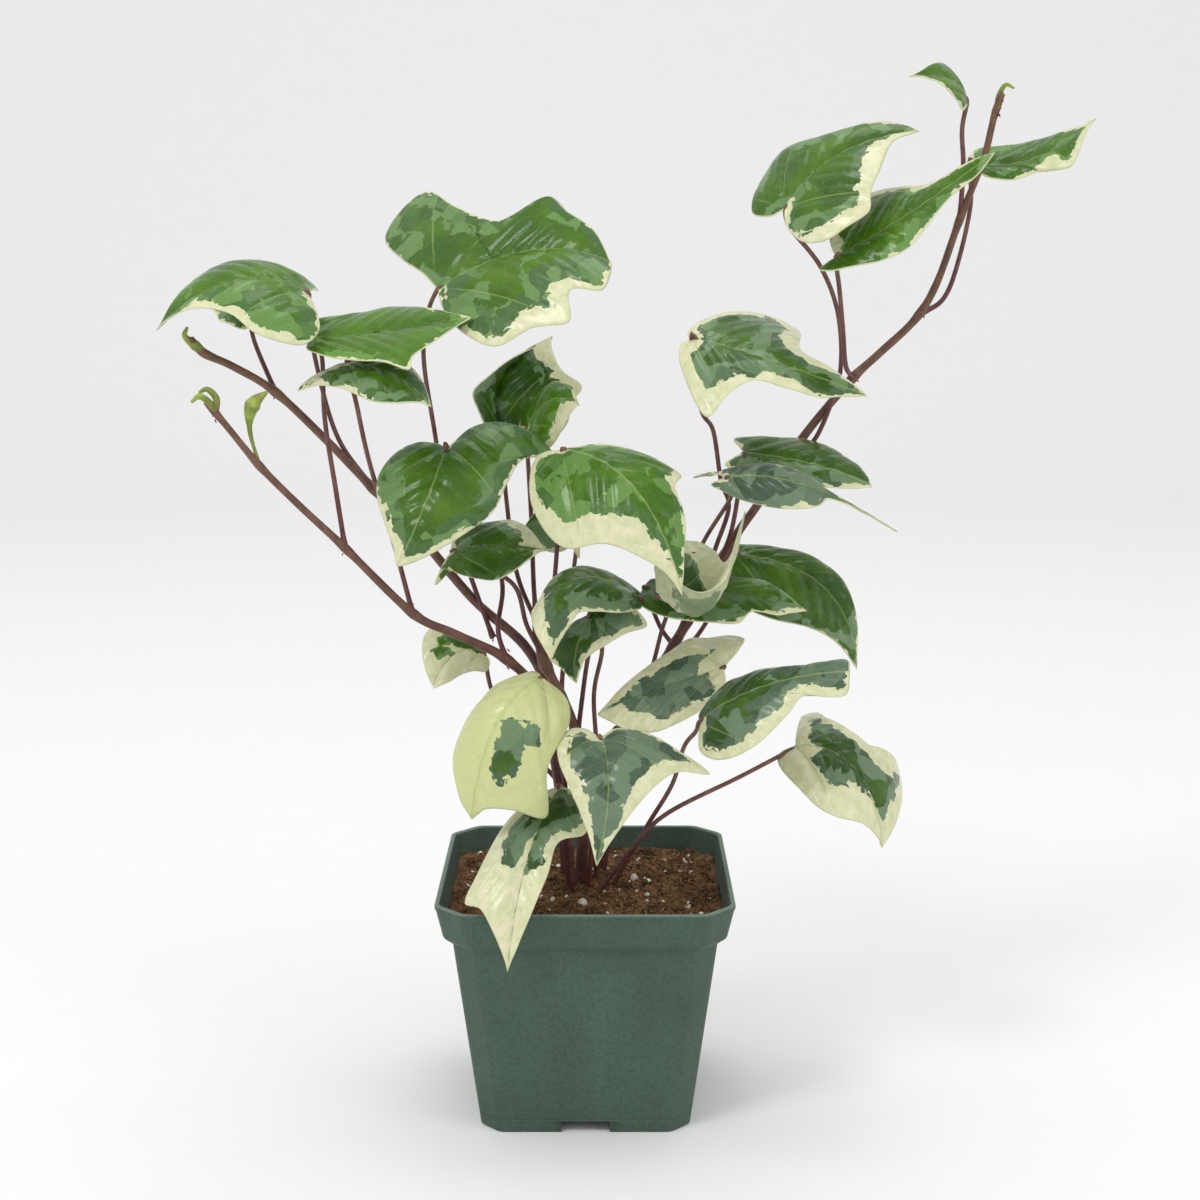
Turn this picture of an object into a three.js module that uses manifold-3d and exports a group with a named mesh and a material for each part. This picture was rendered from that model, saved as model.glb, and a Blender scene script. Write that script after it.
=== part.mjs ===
// Potted ivy: a variegated large-leaved ivy with three long vines and a short central stem, in a square pot.
// Millimetres, +Z up. The origin is the centre of the square that the pot's foot stands on.
import * as THREE from "three";
import { mergeGeometries, mergeVertices } from "three/addons/utils/BufferGeometryUtils.js";
import Module from "manifold-3d";

// ---- Driving dimensions -------------------------------------------------------------------------

const RIM_WIDTH = 105; // the pot's square mouth, over the outside
const POT_HEIGHT = 86.5;
const BASE_WIDTH = 75.5;
const WALL = 1.3;
const COLLAR_BOTTOM = 73.8; // the wider band below the rim ends here
const COLLAR_STEP = 3.1; // height of the sloping step under the band
const COLLAR_LIP = 3.2; // how far the band stands out beyond the body
const COLLAR_LEAN = 2.7; // how far the rim stands out beyond the band's foot
const FLOOR_UNDERSIDE = 4.8; // the floor is raised on a foot skirt
const FLOOR_THICKNESS = 1.4;
const PAD_HALF = 16; // the floor's middle dips to a flat pad that stands level with the skirt
const CORNER_SHARE = 0.18; // corner radius as a share of half the width
const CORNER_STEPS = 4;
const DRAIN_WIDTH = 17.4;
const DRAIN_HEIGHT = 4.4;
const DRAIN_LENGTH = 12; // of the slot in the floor, inwards from the skirt

const SOIL_EDGE = 78; // soil level at the wall
const SOIL_CROWN = 81; // soil level round the stems
const SOIL_CROWN_HALF = 9; // half width of the level crown
const SOIL_SLOPE_HALF = 22; // the slope is steeper inside this half width
const SOIL_EDGE_HALF = 36; // half width where the soil levels out towards the wall
const SOIL_BUMP = 0.7;
const SOIL_BUMP_HALF = 40; // the bumps stay inside this half width
const GAP = 0.3; // clearance between touching pieces
const FINEST_EDGE = 0.03; // slivers that a cut leaves are closed up below this size

const LEAF_THICKNESS = 0.8;
const LEAF_RINGS = 2; // rings of faces between the midrib and the edge
const WIDEST = 0.3; // where along the midrib the left and right points stand opposite it
const PETIOLE_RADIUS = 0.85;
const PETIOLE_SIDES = 6;
const BLADE_HOLD = 2; // how far a petiole runs on under its blade
const STEM_SIDES = 8;
const PETIOLE_STEP = 12; // length of one straight piece of a petiole
const STEM_STEP = 11;
const BUD_STEP = 1.6;
const ROOT_DEPTH = 12; // how far a stem or petiole goes into the soil

const GREEN = "#4d7a2c";
const CREAM_GREEN = "#c6cf8e";
const PETIOLE_BROWN = "#6e4540";
const VINE_BROWN = "#5f4a35";
const BUD_GREEN = "#8a9a3c";
const POT_GREEN = "#47614f";
const PEAT = "#4a3526";

// ---- Where everything grows ---------------------------------------------------------------------

// Each half of a leaf's edge is a list of [along the midrib, out from it]. Along is 0 at the petiole and
// 1 at the tip, and is negative on the lobe behind the petiole. Out is a share of the half's width.
const OVATE = [
  [-0.06, 0.25], [-0.1, 0.58], [0.03, 0.9], [0.18, 1.03],
  [0.34, 1], [0.52, 0.82], [0.72, 0.5], [0.9, 0.17],
];
const LOBED = [
  [-0.08, 0.25], [-0.12, 0.55], [0, 0.82], [0.16, 0.93],
  [0.32, 1.05], [0.47, 0.78], [0.68, 0.5], [0.88, 0.2],
];
const ROUNDED = [
  [-0.04, 0.3], [-0.06, 0.6], [0.05, 0.85], [0.18, 0.97],
  [0.34, 1], [0.52, 0.85], [0.72, 0.5], [0.9, 0.15],
];

const LEAVES = {
  leaf_far_left: {
    base: [-96, -2, 295], middle: [-121, -6, 300], tip: [-147, -14, 283],
    left: [-111, -26, 285], right: [-120, 20, 305], arch: [35, 45],
    leftEdge: [
      [-0.05, 0.3], [-0.09, 0.65], [-0.02, 1], [0.15, 1.12], [0.32, 1.05], [0.48, 0.75], [0.7, 0.42],
      [0.88, 0.2],
    ],
    rightEdge: [
      [-0.04, 0.3], [-0.13, 0.8], [0.04, 0.92], [0.18, 1], [0.34, 1], [0.52, 0.85], [0.72, 0.5],
      [0.9, 0.17],
    ],
    petiole: [[-97, 3, 283], [-89, 4, 247], [-76, 6, 226]],
    joins: "vine_left_high",
  },
  leaf_far_left_back: {
    base: [-121, 20, 286], middle: [-131, 28, 291], tip: [-143, 38, 291],
    left: [-131, 20, 285], right: [-130, 38, 296], arch: [30, 30],
    leftEdge: LOBED,
    rightEdge: LOBED,
    petiole: [[-118, 14, 277], [-109, 0, 261]],
    joins: "vine_left_high",
  },
  leaf_left_upper: {
    base: [-94, -8, 280], middle: [-66, -14, 283], tip: [-38, -27, 289],
    left: [-75, 8, 289], right: [-71, -32, 273], arch: [35, 25],
    leftEdge: ROUNDED,
    rightEdge: [
      [-0.05, 0.2], [-0.06, 0.5], [0.06, 0.72], [0.2, 0.85], [0.36, 1], [0.5, 1.22], [0.56, 0.95],
      [0.78, 0.55],
    ],
    petiole: [[-91, -10, 274], [-90, -14, 253], [-86, -20, 229], [-83, -22, 209]],
    joins: "vine_left_low",
  },
  leaf_left_curled: {
    base: [-82, -14, 272], middle: [-65, -28, 269], tip: [-51, -34, 259],
    left: [-64, -14, 272], right: [-74, -36, 261], arch: [30, 30],
    leftEdge: ROUNDED,
    rightEdge: [
      [-0.12, 0.2], [-0.26, 0.5], [-0.41, 0.93], [-0.2, 0.74], [0.04, 0.8], [0.36, 0.95], [0.62, 0.75],
      [0.86, 0.3],
    ],
    petiole: [[-78, -22, 259], [-76, -16, 244], [-74, -6, 230], [-68, -6, 209], [-60, -22, 186]],
    joins: "vine_left_low",
  },
  leaf_top_centre: {
    base: [-51, -6, 297], middle: [-19, -14, 310], tip: [9, -22, 306],
    left: [-27, -3, 321], right: [-21, -34, 284], arch: [4, 20],
    leftEdge: [
      [-0.14, 0.8], [-0.32, 1.7], [-0.52, 2.9], [-0.5, 3.7], [-0.36, 3.7], [-0.1, 2.4], [0.1, 1.5],
      [0.28, 1.05], [0.5, 1.35], [0.66, 0.9], [0.85, 0.55],
    ],
    rightEdge: [
      [0, 0.35], [0.05, 0.75], [0.16, 1.05], [0.36, 1], [0.56, 1], [0.64, 0.6], [0.83, 0.55],
      [0.93, 0.3],
    ],
    petiole: [
      [-55, -2, 288], [-57, 4, 272], [-54, 8, 247], [-50, 15, 217], [-41, 13, 190], [-34, 10, 171],
    ],
    joins: "vine_left_high",
  },
  leaf_centre_back: {
    base: [-31, 22, 245], middle: [-31, 30, 264], tip: [-12, 36, 278],
    left: [-40, 14, 259], right: [-3, 20, 261], arch: [40, 30],
    leftEdge: LOBED,
    rightEdge: LOBED,
    petiole: [[-29, 20, 220], [-25, 12, 194], [-16, 2, 174]],
    joins: "stem_centre",
  },
  leaf_centre_young: {
    base: [-21, 8, 247], middle: [-12, 0, 258], tip: [-2, 2, 256],
    left: [-15, 14, 261], right: [-10, -2, 245], arch: [60, 70],
    leftEdge: OVATE,
    rightEdge: OVATE,
    petiole: [[-21, 14, 239], [-20, 21, 213], [-19, 11, 192], [-18, 2, 182]],
    joins: "stem_centre",
  },
  leaf_centre_left: {
    base: [-48, -12, 243], middle: [-54, -28, 226], tip: [-64, -32, 204],
    left: [-26, -18, 233], right: [-71, -14, 232], arch: [30, 25],
    leftEdge: [
      [-0.18, 0.3], [-0.2, 0.8], [-0.02, 1.55], [0.12, 1.1], [0.35, 1], [0.6, 0.95], [0.8, 0.6],
      [0.94, 0.25],
    ],
    rightEdge: [
      [-0.03, 0.25], [-0.03, 0.55], [0.08, 0.9], [0.3, 1.05], [0.48, 0.9], [0.66, 0.6], [0.82, 0.3],
      [0.93, 0.12],
    ],
    petiole: [[-43, 10, 221], [-35, 20, 205], [-30, 5, 191], [-31, -10, 178], [-28, -14, 168]],
    joins: "vine_left_low",
  },
  leaf_centre_large: {
    base: [-8, -16, 242], middle: [17, -34, 231], tip: [33, -44, 196],
    left: [24, -14, 240], right: [-5, -34, 214], arch: [25, 30],
    leftEdge: [
      [0.05, 0.3], [0.15, 0.65], [0.3, 0.98], [0.46, 1.15], [0.54, 0.75], [0.7, 0.55], [0.86, 0.22],
      [0.94, 0.1],
    ],
    rightEdge: [
      [-0.1, 0.05], [-0.12, 0.25], [0, 0.75], [0.16, 1.08], [0.32, 1.1], [0.5, 0.75], [0.7, 0.45],
      [0.88, 0.15],
    ],
    petiole: [[-9, -2, 223], [-11, 4, 195], [-13, 4, 178], [-14, 2, 162]],
    joins: "stem_centre",
  },
  leaf_under_left: {
    base: [-48, 2, 204], middle: [-31, -4, 207], tip: [-14, -4, 205],
    left: [-29, 8, 214], right: [-33, -12, 196], arch: [50, 40],
    leftEdge: OVATE,
    rightEdge: [
      [-0.1, 0.3], [-0.28, 0.85], [-0.12, 0.5], [0.05, 0.8], [0.3, 1.02], [0.52, 0.85], [0.74, 0.5],
      [0.9, 0.18],
    ],
    petiole: [[-42, 6, 200], [-26, 2, 192], [-21, 0, 177], [-14, 2, 163]],
    joins: "stem_centre",
  },
  leaf_under_centre: {
    base: [-2, 12, 216], middle: [-12, 12, 214], tip: [-23, 10, 211],
    left: [-10, 6, 203], right: [-11, 20, 221], arch: [30, 30],
    leftEdge: [
      [-0.06, 0.5], [-0.12, 1.25], [0.04, 0.95], [0.2, 1], [0.36, 1], [0.55, 0.85], [0.75, 0.5],
      [0.9, 0.2],
    ],
    rightEdge: ROUNDED,
    petiole: [[-4, 18, 198], [-7, 14, 175], [-9, 2, 151]],
    joins: "stem_centre",
  },
  leaf_pale_left: {
    pale: true,
    base: [-37, 8, 165], middle: [-47, 4, 166], tip: [-55, -2, 155],
    left: [-45, 0, 159], right: [-56, 12, 174], arch: [25, 30],
    leftEdge: [
      [-0.1, 0.2], [-0.08, 0.6], [0.1, 0.8], [0.3, 1], [0.5, 1.1], [0.7, 0.9], [0.85, 0.6],
      [0.95, 0.25],
    ],
    rightEdge: [
      [-0.12, 0.5], [-0.1, 0.95], [0.1, 1.1], [0.3, 1], [0.5, 0.9], [0.7, 0.7], [0.85, 0.45],
      [0.95, 0.2],
    ],
    petiole: [[-34, 6, 151], [-24, 6, 133], [-10, 8, 117]],
    joins: "vine_left_high",
  },
  leaf_pale_front: {
    pale: true,
    base: [-15, -28, 164], middle: [-30, -46, 152], tip: [-39, -44, 118],
    left: [-9, -40, 143], right: [-37, -26, 155], arch: [30, 45],
    leftEdge: [
      [0, 0.45], [0.12, 0.85], [0.3, 1], [0.5, 1.1], [0.7, 1.38], [0.79, 0.75], [0.88, 0.3],
      [0.95, 0.12],
    ],
    rightEdge: [
      [-0.05, 0.3], [-0.06, 0.6], [0.08, 0.95], [0.3, 1.05], [0.5, 0.95], [0.7, 0.75], [0.87, 0.42],
      [0.95, 0.18],
    ],
    petiole: [[-10, -20, 155], [-8, -14, 131], [-7, -6, 114]],
    joins: "vine_left_low",
  },
  leaf_grey_front: {
    base: [5, -34, 145], middle: [8, -52, 131], tip: [4, -58, 106],
    left: [30, -40, 138], right: [-9, -42, 140], arch: [30, 30],
    leftEdge: [
      [-0.05, 0.3], [0.02, 0.65], [0.2, 1.15], [0.38, 1.68], [0.4, 1.1], [0.48, 0.78], [0.65, 0.42],
      [0.87, 0.12],
    ],
    rightEdge: [
      [-0.02, 0.3], [0.02, 0.62], [0.15, 0.95], [0.36, 1], [0.55, 0.78], [0.7, 0.52], [0.82, 0.3],
      [0.93, 0.12],
    ],
    petiole: [[4, -22, 136], [4, -12, 116], [2, -8, 96], [1, -6, 81]],
    joins: null,
  },
  leaf_over_rim: {
    base: [-9, -22, 124], middle: [-20, -50, 104], tip: [-26, -66, 71],
    left: [-4, -46, 108], right: [-34, -46, 104], arch: [20, 25],
    leftEdge: [
      [0, 0.4], [0.1, 1], [0.2, 1.1], [0.32, 0.6], [0.5, 0.6], [0.7, 0.42], [0.85, 0.22], [0.94, 0.1],
    ],
    rightEdge: [
      [0, 0.3], [0.05, 0.65], [0.14, 0.95], [0.35, 1.1], [0.49, 1.2], [0.6, 0.78], [0.76, 0.42],
      [0.92, 0.12],
    ],
    petiole: [[-7, -16, 117], [-5, -12, 97], [-5, -10, 81]],
    joins: null,
  },
  leaf_rolled: {
    base: [20, -2, 187], middle: [0, -14, 197], tip: [-18, -20, 186],
    left: [5, -22, 186], right: [2, 4, 196], arch: [30, 50],
    leftEdge: [
      [0, 0.3], [0.15, 0.8], [0.35, 1], [0.5, 1.1], [0.62, 1.7], [0.72, 1.9], [0.86, 1.2], [0.95, 0.5],
    ],
    rightEdge: ROUNDED,
    petiole: [[14, 4, 180], [5, 6, 173], [1, 6, 165], [-3, 2, 136]],
    joins: "stem_centre",
  },
  leaf_folded: {
    base: [2, -6, 183], middle: [-3, -14, 171], tip: [-3, -18, 160],
    left: [12, -12, 178], right: [-12, -6, 170], arch: [40, 25],
    leftEdge: [
      [-0.06, 0.6], [0, 1.1], [0.2, 1.7], [0.35, 1.2], [0.5, 0.75], [0.65, 0.3], [0.8, 0.16],
      [0.92, 0.08],
    ],
    rightEdge: [
      [0.02, 0.25], [0.06, 0.5], [0.2, 0.95], [0.36, 1.05], [0.5, 0.85], [0.66, 0.5], [0.8, 0.28],
      [0.92, 0.12],
    ],
    petiole: [[6, 2, 169], [3, 4, 151], [4, 2, 127], [4, 1, 78]],
    joins: null,
  },
  leaf_cupped: {
    base: [25, -14, 192], middle: [44, -20, 187], tip: [56, -14, 221],
    left: [40, 2, 207], right: [39, -34, 196], arch: [30, 30],
    leftEdge: [
      [-0.04, 0.3], [-0.06, 0.6], [0.05, 0.85], [0.18, 0.97], [0.34, 1], [0.52, 0.75], [0.68, 0.32],
      [0.85, 0.1],
    ],
    rightEdge: [
      [-0.04, 0.3], [-0.06, 0.6], [0.05, 0.85], [0.18, 0.97], [0.34, 1], [0.52, 0.95], [0.68, 0.8],
      [0.85, 0.3],
    ],
    petiole: [[26, -4, 196], [28, 8, 196], [31, 23, 189], [36, 25, 177], [38, 20, 175]],
    joins: "vine_right",
  },
  leaf_right_under: {
    base: [21, 6, 190], middle: [50, 0, 190], tip: [79, -8, 184],
    left: [52, 10, 193], right: [42, -14, 181], arch: [30, 30],
    leftEdge: ROUNDED,
    rightEdge: [
      [-0.05, 0.3], [-0.04, 0.6], [0.1, 0.9], [0.3, 1], [0.5, 0.95], [0.62, 0.6], [0.78, 0.5],
      [0.9, 0.2],
    ],
    petiole: [[24, 20, 181], [28, 25, 171], [33, 20, 165]],
    joins: "vine_right",
  },
  leaf_right_arching: {
    base: [55, 24, 199], middle: [87, 18, 188], tip: [99, 8, 159],
    left: [84, 28, 198], right: [67, 12, 179], arch: [30, 30],
    leftEdge: ROUNDED,
    rightEdge: [
      [-0.04, 0.3], [-0.06, 0.6], [0.06, 0.9], [0.18, 1.05], [0.34, 1.05], [0.52, 0.82], [0.72, 0.5],
      [0.9, 0.2],
    ],
    petiole: [[51, 30, 185], [44, 29, 171], [36, 25, 162], [29, 20, 159]],
    joins: "vine_right",
  },
  leaf_right_low_back: {
    base: [50, 6, 160], middle: [25, -8, 155], tip: [4, -14, 148],
    left: [28, -20, 144], right: [38, 16, 168], arch: [28, 34],
    leftEdge: [
      [-0.04, 0.3], [-0.06, 0.6], [0.05, 0.85], [0.2, 0.97], [0.36, 1], [0.56, 0.85], [0.76, 0.5],
      [0.92, 0.18],
    ],
    rightEdge: LOBED,
    petiole: [[35, 10, 147], [15, 9, 138], [9, 8, 131], [4, 8, 76]],
    joins: null,
  },
  leaf_right_low: {
    base: [40, -22, 147], middle: [62, -32, 162], tip: [91, -36, 168],
    left: [58, -14, 163], right: [56, -42, 143], arch: [30, 25],
    leftEdge: [
      [-0.02, 0.3], [0.02, 0.6], [0.1, 0.9], [0.2, 1], [0.36, 0.9], [0.55, 0.6], [0.75, 0.4],
      [0.95, 0.4],
    ],
    rightEdge: [
      [-0.02, 0.3], [-0.02, 0.6], [0.08, 0.92], [0.24, 1.05], [0.42, 0.95], [0.6, 0.65], [0.72, 0.4],
      [0.93, 0.5],
    ],
    petiole: [[39, -20, 143], [35, -18, 137], [31, -14, 122], [22, -10, 105], [10, -3, 80]],
    joins: null,
  },
  leaf_right_drooping: {
    base: [76, -4, 133], middle: [96, -14, 128], tip: [106, -22, 101],
    left: [98, 6, 139], right: [81, -26, 118], arch: [25, 30],
    leftEdge: [
      [-0.1, 0.9], [-0.22, 2], [0, 1.25], [0.3, 0.8], [0.55, 0.8], [0.76, 1.45], [0.89, 1.85],
      [0.96, 0.9],
    ],
    rightEdge: [
      [-0.1, 0.1], [-0.05, 0.4], [0.1, 0.75], [0.3, 1], [0.5, 0.95], [0.7, 0.6], [0.88, 0.25],
      [0.95, 0.1],
    ],
    petiole: [[56, -10, 124], [31, -16, 113], [20, -16, 103], [6, -12, 82]],
    joins: null,
  },
  leaf_right_cream: {
    base: [37, -4, 280], middle: [60, -14, 274], tip: [96, -24, 261],
    left: [57, 12, 286], right: [47, -26, 262], arch: [20, 20],
    leftEdge: [
      [-0.06, 0.15], [0.05, 0.7], [0.2, 1.15], [0.42, 1.8], [0.6, 1.45], [0.66, 0.6], [0.8, 0.4],
      [0.92, 0.2],
    ],
    rightEdge: [
      [-0.1, 0.2], [-0.06, 0.7], [0.18, 1.45], [0.35, 0.9], [0.5, 0.5], [0.65, 0.45], [0.8, 0.4],
      [0.9, 0.2],
    ],
    petiole: [[41, 6, 255], [46, 14, 246], [49, 15, 228], [52, 15, 218], [47, 15, 202], [42, 20, 183]],
    joins: "vine_right",
  },
  leaf_right_middle: {
    base: [56, 2, 239], middle: [80, -6, 236], tip: [101, -10, 229],
    left: [76, 14, 243], right: [66, -10, 230], arch: [30, 20],
    leftEdge: [
      [-0.06, 0.25], [-0.1, 0.55], [0.03, 0.8], [0.15, 0.95], [0.3, 1.02], [0.5, 0.9], [0.7, 0.6],
      [0.88, 0.3],
    ],
    rightEdge: [
      [-0.05, 0.2], [-0.08, 0.5], [0.02, 0.8], [0.15, 0.92], [0.34, 1], [0.52, 0.9], [0.68, 0.72],
      [0.86, 0.4],
    ],
    petiole: [[55, 6, 231], [55, 8, 225], [53, 13, 210], [50, 20, 199]],
    joins: "vine_right",
  },
  leaf_right_tailed: {
    base: [49, -12, 232], middle: [74, -22, 231], tip: [108, -24, 215],
    left: [67, -10, 236], right: [67, -24, 223], arch: [20, 20],
    leftEdge: [
      [-0.15, 0.7], [-0.36, 1], [-0.2, 1], [0.05, 0.9], [0.3, 1], [0.5, 0.7], [0.66, 0.2], [0.85, 0.1],
    ],
    rightEdge: [
      [-0.12, 0.1], [-0.05, 0.4], [0.08, 0.8], [0.25, 1], [0.42, 0.9], [0.56, 0.6], [0.66, 0.15],
      [0.85, 0.06],
    ],
    petiole: [[52, -2, 225], [43, 13, 206], [30, 17, 178], [24, 15, 157], [13, 12, 124], [6, 12, 74]],
    joins: null,
  },
  leaf_crown_large: {
    base: [69, -4, 324], middle: [87, 2, 342], tip: [116, 6, 351],
    left: [71, 18, 345], right: [92, -20, 324], arch: [25, 20],
    leftEdge: [
      [-0.12, 0.25], [-0.18, 0.7], [-0.05, 1], [0.14, 1.1], [0.3, 1.1], [0.5, 0.7], [0.8, 0.45],
      [0.93, 0.25],
    ],
    rightEdge: [
      [-0.08, 0.15], [-0.1, 0.55], [0, 0.9], [0.15, 1.05], [0.33, 1.15], [0.45, 0.9], [0.62, 0.6],
      [0.83, 0.15],
    ],
    petiole: [
      [71, -1, 318], [82, 3, 305], [89, 7, 289], [91, 10, 270], [88, 12, 256], [82, 14, 242],
      [75, 16, 239],
    ],
    joins: "vine_right",
  },
  leaf_crown_twisted: {
    base: [86, -10, 308], middle: [110, -12, 322], tip: [140, -8, 343],
    left: [100, 12, 329], right: [101, -20, 307], arch: [20, 20],
    leftEdge: [
      [-0.02, 0.3], [0, 0.7], [0.1, 1], [0.3, 1.08], [0.5, 0.7], [0.62, 0.4], [0.77, 0.25],
      [0.9, 0.15],
    ],
    rightEdge: [
      [-0.14, 0.1], [-0.06, 0.45], [0.1, 0.7], [0.3, 1], [0.45, 1.1], [0.58, 0.8], [0.72, 0.4],
      [0.88, 0.35],
    ],
    petiole: [[88, -6, 297], [90, -2, 283], [92, 4, 270], [96, 14, 265]],
    joins: "vine_right",
  },
  leaf_crown_right: {
    base: [135, 14, 341], middle: [156, 10, 341], tip: [177, 4, 355],
    left: [150, 22, 346], right: [147, 6, 334], arch: [20, 20],
    leftEdge: [
      [0, 0.3], [0.04, 0.6], [0.15, 0.95], [0.3, 1], [0.5, 1.1], [0.65, 1], [0.8, 0.6], [0.92, 0.25],
    ],
    rightEdge: [
      [0, 0.3], [0.04, 0.6], [0.15, 0.9], [0.3, 1], [0.5, 0.85], [0.64, 0.75], [0.78, 1.5],
      [0.92, 0.5],
    ],
    petiole: [[136, 14, 326], [132, 14, 305], [127, 12, 293], [119, 10, 288]],
    joins: "vine_right",
  },
  leaf_crown_young: {
    base: [131, 0, 360], middle: [124, -6, 367], tip: [109, -12, 368],
    left: [123, -14, 362], right: [125, 4, 372], arch: [20, 20],
    leftEdge: ROUNDED,
    rightEdge: ROUNDED,
    petiole: [[130, 2, 351], [131, 3, 339], [131, 6, 321]],
    joins: "vine_right",
  },
};

// Vines and stems, from the soil up, with their radius at the foot and at the end.
const STEMS = {
  vine_left_low: {
    path: [
      [-5, -6, 79], [-7, -6, 98], [-11, -8, 129], [-16, -10, 153], [-28, -14, 168], [-46, -18, 178],
      [-60, -22, 186], [-83, -22, 209], [-98, -24, 224], [-111, -26, 238], [-121, -27, 251],
      [-128, -28, 260],
    ],
    foot: 2, end: 1.1,
  },
  vine_left_high: {
    path: [
      [-7, 8, 76], [-9, 8, 110], [-11, 8, 142], [-21, 10, 166], [-41, 14, 184], [-62, 12, 210],
      [-76, 6, 226], [-91, 2, 243], [-109, 0, 261], [-123, -2, 270], [-133, -4, 275], [-137, -6, 280],
    ],
    foot: 2.1, end: 1.3,
  },
  vine_right: {
    path: [
      [4, 16, 73], [7, 18, 111], [15, 20, 135], [28, 20, 157], [36, 20, 172], [54, 20, 205],
      [63, 18, 219], [79, 16, 244], [95, 14, 264], [105, 12, 274], [117, 10, 286], [124, 8, 299],
      [131, 6, 321], [138, 4, 341], [141, 2, 356], [143, 0, 363],
    ],
    foot: 2.2, end: 1.1,
  },
  stem_centre: {
    path: [[-2, 1, 77], [-1, 2, 112], [-4, 2, 138], [-10, 2, 153], [-16, 2, 166], [-18, 2, 182]],
    foot: 2.2, end: 1.5,
  },
};

// Growing points: a path with a radius at each of its points, and the piece that the path starts on.
const BUDS = {
  bud_left_high: {
    paths: [[[-133, -4, 275], [-136, -5, 278], [-139, -6, 281], [-138, -6, 284]]],
    radii: [1.4, 1.9, 1.1, 0.5],
    joins: "vine_left_high",
  },
  bud_left_low: {
    paths: [
      [[-125, -28, 257], [-127, -29, 260], [-130, -29, 262], [-133, -28, 260]],
      [[-125, -28, 257], [-125, -26, 261], [-128, -25, 264], [-131, -25, 263]],
    ],
    radii: [1.2, 1.2, 1.1, 0.5],
    joins: "vine_left_low",
  },
  bud_left_stalked: {
    paths: [[[-111, -26, 238], [-114, -25, 249], [-114, -24, 256], [-112, -24, 260], [-108, -25, 263]]],
    radii: [0.7, 0.6, 0.9, 2.8, 0.6],
    joins: "vine_left_low",
  },
  bud_right: {
    paths: [[[142, 1, 358], [142, 1, 362], [144, 0, 366], [147, 0, 365]]],
    radii: [1.1, 1, 0.8, 0.4],
    joins: "vine_right",
  },
};

// ---- Solids -------------------------------------------------------------------------------------

const wasm = await Module();
wasm.setup();

function toSolid(geometry) {
  const bare = geometry.clone();
  bare.deleteAttribute("normal");
  bare.deleteAttribute("uv");
  const merged = mergeVertices(bare, 1e-4);
  const vertProperties = new Float32Array(merged.attributes.position.array);
  const triVerts = new Uint32Array(merged.index.array);
  return new wasm.Manifold(new wasm.Mesh({ numProp: 3, vertProperties, triVerts }));
}

function toGeometry(solid) {
  const mesh = solid.getMesh();
  const geometry = new THREE.BufferGeometry();
  geometry.setAttribute("position", new THREE.BufferAttribute(mesh.vertProperties, 3));
  geometry.setIndex(new THREE.BufferAttribute(mesh.triVerts, 1));
  geometry.computeVertexNormals();
  return geometry;
}

// A cut can leave slivers behind, so the finest edges are closed up and only the largest body is kept.
function cleaned(solid) {
  const bodies = solid.asOriginal().simplify(FINEST_EDGE).decompose();
  return bodies.reduce((most, body) => (body.volume() > most.volume() ? body : most));
}

function moveVertices(geometry, place) {
  const position = geometry.attributes.position;
  const uv = geometry.attributes.uv;
  for (let i = 0; i < position.count; i += 1) {
    const from = new THREE.Vector3().fromBufferAttribute(position, i);
    const to = place(from, uv.getX(i), uv.getY(i));
    position.setXYZ(i, to.x, to.y, to.z);
  }
  return geometry;
}

const vector = (point) => new THREE.Vector3(...point);

// A closed round tube along a curve through the points. radiusAt gives its radius from 0 to 1 along it.
function tube(points, radiusAt, sides, step) {
  const curve = new THREE.CatmullRomCurve3(points.map(vector), false, "centripetal");
  const steps = Math.max(2, Math.round(curve.getLength() / step));
  const frames = curve.computeFrenetFrames(steps, false);
  const straight = new THREE.CylinderGeometry(1, 1, 1, sides, steps);
  return moveVertices(straight, (from) => {
    const index = Math.round((from.y + 0.5) * steps);
    const radius = radiusAt(index / steps);
    return curve
      .getPointAt(index / steps)
      .addScaledVector(frames.normals[index], from.z * radius)
      .addScaledVector(frames.binormals[index], from.x * radius);
  });
}

function swell(radii) {
  return (along) => {
    const place = along * (radii.length - 1);
    const before = Math.min(Math.floor(place), radii.length - 2);
    return THREE.MathUtils.lerp(radii[before], radii[before + 1], place - before);
  };
}

function petioleTube(points, gap = 0) {
  return tube(points, () => PETIOLE_RADIUS + gap, PETIOLE_SIDES, PETIOLE_STEP);
}

// ---- Pot and soil -------------------------------------------------------------------------------

// One point for each corner step and each side's middle, on a square of half width 1.
function squareOutline() {
  const points = [];
  const inner = 1 - CORNER_SHARE;
  for (let quarter = 0; quarter < 4; quarter += 1) {
    const turn = (quarter * Math.PI) / 2;
    const corner = [new THREE.Vector2(1, 0)];
    for (let i = 0; i <= CORNER_STEPS; i += 1) {
      const angle = ((i / CORNER_STEPS) * Math.PI) / 2;
      const arc = new THREE.Vector2(Math.cos(angle), Math.sin(angle)).multiplyScalar(CORNER_SHARE);
      corner.push(arc.addScalar(inner));
    }
    corner.forEach((point) => points.push(point.rotateAround(new THREE.Vector2(), turn)));
  }
  return points;
}

// A profile of [half width, height] carried round the square, from the axis back to the axis.
function squareLathe(profile) {
  const outline = squareOutline();
  const points = profile.map(([half, height]) => new THREE.Vector2(half, height));
  const round = new THREE.LatheGeometry(points, outline.length);
  return moveVertices(round, (from, along) => {
    const side = outline[Math.round(along * outline.length) % outline.length];
    const half = Math.hypot(from.x, from.z);
    return new THREE.Vector3(side.x * half, side.y * half, from.y);
  });
}

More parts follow.
